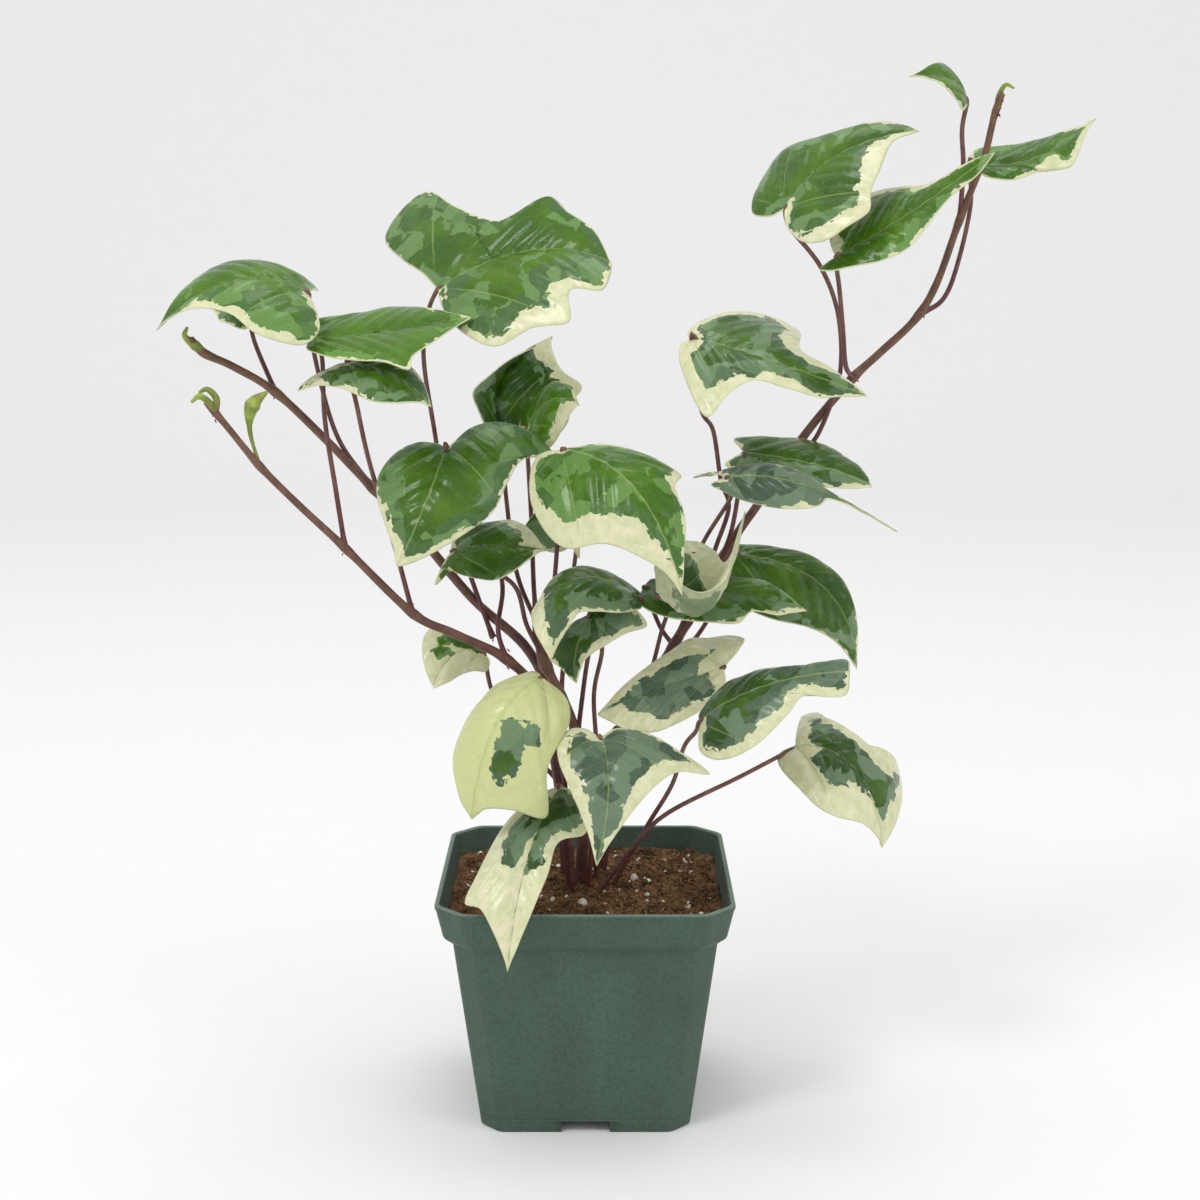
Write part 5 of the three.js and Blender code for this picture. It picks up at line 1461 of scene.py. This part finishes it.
class IVY_OT_pot(bpy.types.Operator):
    """Add the square pot with its folded rim, stepped collar and notched foot"""

    bl_idname = "ivy.add_pot"
    bl_label = "Pot"

    def execute(self, context):
        shell = Shell()
        lathed(shell, pot_profile(), cut_square(5))
        pot = make_mesh("nursery_pot", shell, (pot_material(context.scene.ivy_pot),))
        cutters = []
        for side in ((1, 0), (-1, 0), (0, 1), (0, -1)):
            way = np.array(side)
            cutters.append(side_box(way, FOOT_HALF + 2, NOTCH_LONG, NOTCH_WIDE, -5, NOTCH_HIGH))
            slot = FOOT_HALF - SLOT_IN
            cutters.append(side_box(way, slot, SLOT_LONG, NOTCH_WIDE, FLOOR_LOW - 2, FLOOR_TOP + 2))
        cut_away(pot, cutters)
        pot.data.name = "nursery_pot"
        keep(pot, "pot")
        return {"FINISHED"}


class IVY_OT_soil(bpy.types.Operator):
    """Add the soil with its peat crumbs, fibres and perlite grains"""

    bl_idname = "ivy.add_soil"
    bl_label = "Soil"

    def execute(self, context):
        sizes = context.scene.ivy_pot
        peat = crumb_material("damp_milled_peat", "#3f2e22", "#8a6a4c", 0.0011)
        fibre = crumb_material("dry_peat_fibre", "#6b472b", "#b88a5c", 0.002)
        perlite = crumb_material("expanded_perlite", "#c9c3b6", "#f4f1ea", 0.0008)
        soil = make_mesh("peat_soil", soil_shell(64, cut_square(18)), (peat,))
        crumbs = scatter("peat_crumbs", soil, peat, 3, "grain", {
            "Density": sizes.crumb_density, "Smallest": (0.0003,) * 3, "Largest": (0.0015, 0.0013, 0.0010),
            "Roughness": 0.0013, "Tilt": 0.8, "Reach": 0.047})
        fibres = scatter("peat_fibres", soil, fibre, 11, "fibre", {
            "Density": sizes.fibre_density, "Smallest": (0.00012, 0.00012, 0.0010),
            "Largest": (0.00024, 0.00024, 0.0028), "Roughness": 0.0022, "Tilt": 1.75, "Reach": 0.045})
        grains = scatter("perlite_grains", soil, perlite, 23, "grain", {
            "Density": sizes.perlite_density, "Smallest": (0.0004,) * 3, "Largest": (0.0013, 0.0012, 0.0011),
            "Roughness": 0.0008, "Tilt": 1.0, "Reach": 0.0465})
        lumps = scatter("perlite_lumps", soil, perlite, 40, "grain", {
            "Density": sizes.perlite_density / 14, "Smallest": (0.0012,) * 3,
            "Largest": (0.0030, 0.0022, 0.0018), "Roughness": 0.0022, "Tilt": 0.6, "Reach": 0.045})
        keep(soil, "soil")
        for made in (crumbs, fibres, grains, lumps):
            keep(made, None)
        return {"FINISHED"}


class IVY_OT_vines(bpy.types.Operator):
    """Add the vines and the central stem with their joints and aerial root stubs"""

    bl_idname = "ivy.add_vines"
    bl_label = "Vines"

    def execute(self, context):
        sizes = context.scene.ivy_stalk
        bark = stalk_material("green_brown_vine_bark", "#75543f", sizes.vine_brown, "#521f22", 0.5)
        for name, stem in STEMS.items():
            shell = vine_shell(name, stem, sizes.joint_swell)
            made = make_mesh(f"{name}_bark", shell, (bark,), ("run",))
            keep(made, name)
        return {"FINISHED"}


class IVY_OT_leaves(bpy.types.Operator):
    """Add every leaf with its petiole"""

    bl_idname = "ivy.add_leaves"
    bl_label = "Leaves"

    def execute(self, context):
        sizes = context.scene.ivy_leaf
        stalks = context.scene.ivy_stalk
        upper = ivy_leaf_material("ivy_leaf_waxy_upper_face", sizes, under=False)
        lower = ivy_leaf_material("ivy_leaf_dull_under_face", sizes, under=True)
        petiole = stalk_material("ivy_petiole_skin", "#7d5f4c", stalks.petiole_red, "#5e2227", 0.42)
        for number, (name, leaf) in enumerate(LEAVES.items()):
            shell = Shell()
            surface = blade_shell(shell, leaf, COLOURING[name], sizes, number)
            petiole_shell(shell, leaf, surface, stalks.petiole_radius / MM)
            skins = (upper, lower, petiole)
            made = make_mesh(f"{name}_blade", shell, skins, LEAF_ATTRIBUTES, ("leaf_x", "leaf_y"))
            keep(made, name)
        return {"FINISHED"}


class IVY_OT_buds(bpy.types.Operator):
    """Add the young shoots at the ends of the vines"""

    bl_idname = "ivy.add_buds"
    bl_label = "Young shoots"

    def execute(self, context):
        skin = stalk_material("downy_young_shoot", "#a9b455", "#8aa23e", "#7a6a3c", 0.6)
        for name, bud in BUDS.items():
            shell = Shell()
            for path in bud["paths"]:
                line, run = even(catmull([np.array(p, float) for p in path], 12), 0.4)
                share = run / run[-1]
                radii = np.interp(share, np.linspace(0, 1, len(bud["radii"])), bud["radii"])
                tube(shell, line, radii, 14, 0, run=1 - share)
            made = make_mesh(f"{name}_shoot", shell, (skin,), ("run",))
            keep(made, name)
        return {"FINISHED"}


class IVY_OT_stage(bpy.types.Operator):
    """Add the pale sweep, the soft lights and the camera"""

    bl_idname = "ivy.add_stage"
    bl_label = "Stage"

    def execute(self, context):
        scene = context.scene
        # Matt paper: no shine of its own, so only the pot's soft shadow shows on it.
        paper, tree, shader = new_material("matt_paper_sweep", Roughness=0.95, Specular_IOR_Level=0.1)
        place = add(tree, "ShaderNodeTexCoord").outputs["Object"]
        fleck = add(tree, "ShaderNodeTexNoise", {"Vector": place}, {"Scale": 40.0, "Detail": 2.0})
        tree.links.new(blend(tree, fleck.outputs["Fac"], "#f4f4f4", "#f6f6f6"), shader.inputs["Base Color"])
        back, radius, top = 1.6, 0.8, 3.5
        profile = [(-3, 0), (back, 0)]
        for turn in np.linspace(0.1, math.pi / 2, 12):
            profile.append((back + radius * math.sin(turn), radius - radius * math.cos(turn)))
        profile.append((2.4, top))
        mesh = bpy.data.meshes.new("sweep")
        points = [(x, y, z) for y, z in profile for x in (-4, 4)]
        faces = [(2 * i, 2 * i + 1, 2 * i + 3, 2 * i + 2) for i in range(len(profile) - 1)]
        mesh.from_pydata(points, [], faces)
        mesh.polygons.foreach_set("use_smooth", [True] * len(faces))
        mesh.materials.append(paper)
        sweep = bpy.data.objects.new("sweep", mesh)
        scene.collection.objects.link(sweep)

        world = bpy.data.worlds.new("soft_white")
        world.use_nodes = True
        background = world.node_tree.nodes["Background"]
        background.inputs["Color"].default_value = (1.0, 1.0, 1.0, 1.0)
        background.inputs["Strength"].default_value = 0.8
        scene.world = world
        target = Vector((0, 0, 0.17))
        for name, spot, size, power in (
            ("key_softbox", (-0.9, -1.0, 1.6), 0.5, 9.0),
            ("fill_softbox", (1.3, -0.9, 1.0), 0.7, 3.0),
            ("top_softbox", (0.1, 0.3, 1.9), 0.7, 5.0),
        ):
            light = bpy.data.lights.new(name, "AREA")
            light.shape, light.size, light.energy = "SQUARE", size, power
            lamp = bpy.data.objects.new(name, light)
            lamp.location = spot
            lamp.rotation_euler = (target - Vector(spot)).to_track_quat("-Z", "Y").to_euler()
            scene.collection.objects.link(lamp)

        camera = bpy.data.cameras.new("camera")
        camera.lens, camera.sensor_width = LENS_MM, SENSOR_MM
        camera.clip_start, camera.clip_end = 0.01, 20.0
        eye = bpy.data.objects.new("camera", camera)
        eye.location = EYE
        eye.rotation_euler = (math.radians(90 - DIP), 0, 0)
        scene.collection.objects.link(eye)
        scene.camera = eye
        scene.view_settings.view_transform = "Standard"
        return {"FINISHED"}


class IVY_PT_panel(bpy.types.Panel):
    """Lists the pieces of the potted ivy"""

    bl_idname = "IVY_PT_panel"
    bl_label = "Potted ivy"
    bl_space_type = "VIEW_3D"
    bl_region_type = "UI"
    bl_category = "Ivy"

    def draw(self, context):
        for step in STEPS:
            self.layout.operator(step.bl_idname)
        for group in (context.scene.ivy_leaf, context.scene.ivy_stalk, context.scene.ivy_pot):
            for name in group.__annotations__:
                self.layout.prop(group, name)


STEPS = (IVY_OT_stage, IVY_OT_pot, IVY_OT_soil, IVY_OT_vines, IVY_OT_leaves, IVY_OT_buds)
SETTINGS = {"ivy_leaf": IvyLeafSettings, "ivy_stalk": IvyStalkSettings, "ivy_pot": IvyPotSettings}


def register():
    """Registers the settings, the operators and the panel."""
    for kind in (*SETTINGS.values(), *STEPS, IVY_PT_panel):
        bpy.utils.register_class(kind)
    for name, kind in SETTINGS.items():
        setattr(bpy.types.Scene, name, bpy.props.PointerProperty(type=kind))


def unregister():
    """Takes away what register() added."""
    for name in SETTINGS:
        delattr(bpy.types.Scene, name)
    for kind in reversed((*SETTINGS.values(), *STEPS, IVY_PT_panel)):
        bpy.utils.unregister_class(kind)


def main():
    """Builds every piece in order."""
    register()
    for step in STEPS:
        family, name = step.bl_idname.split(".")
        getattr(getattr(bpy.ops, family), name)()


if __name__ == "__main__":
    main()
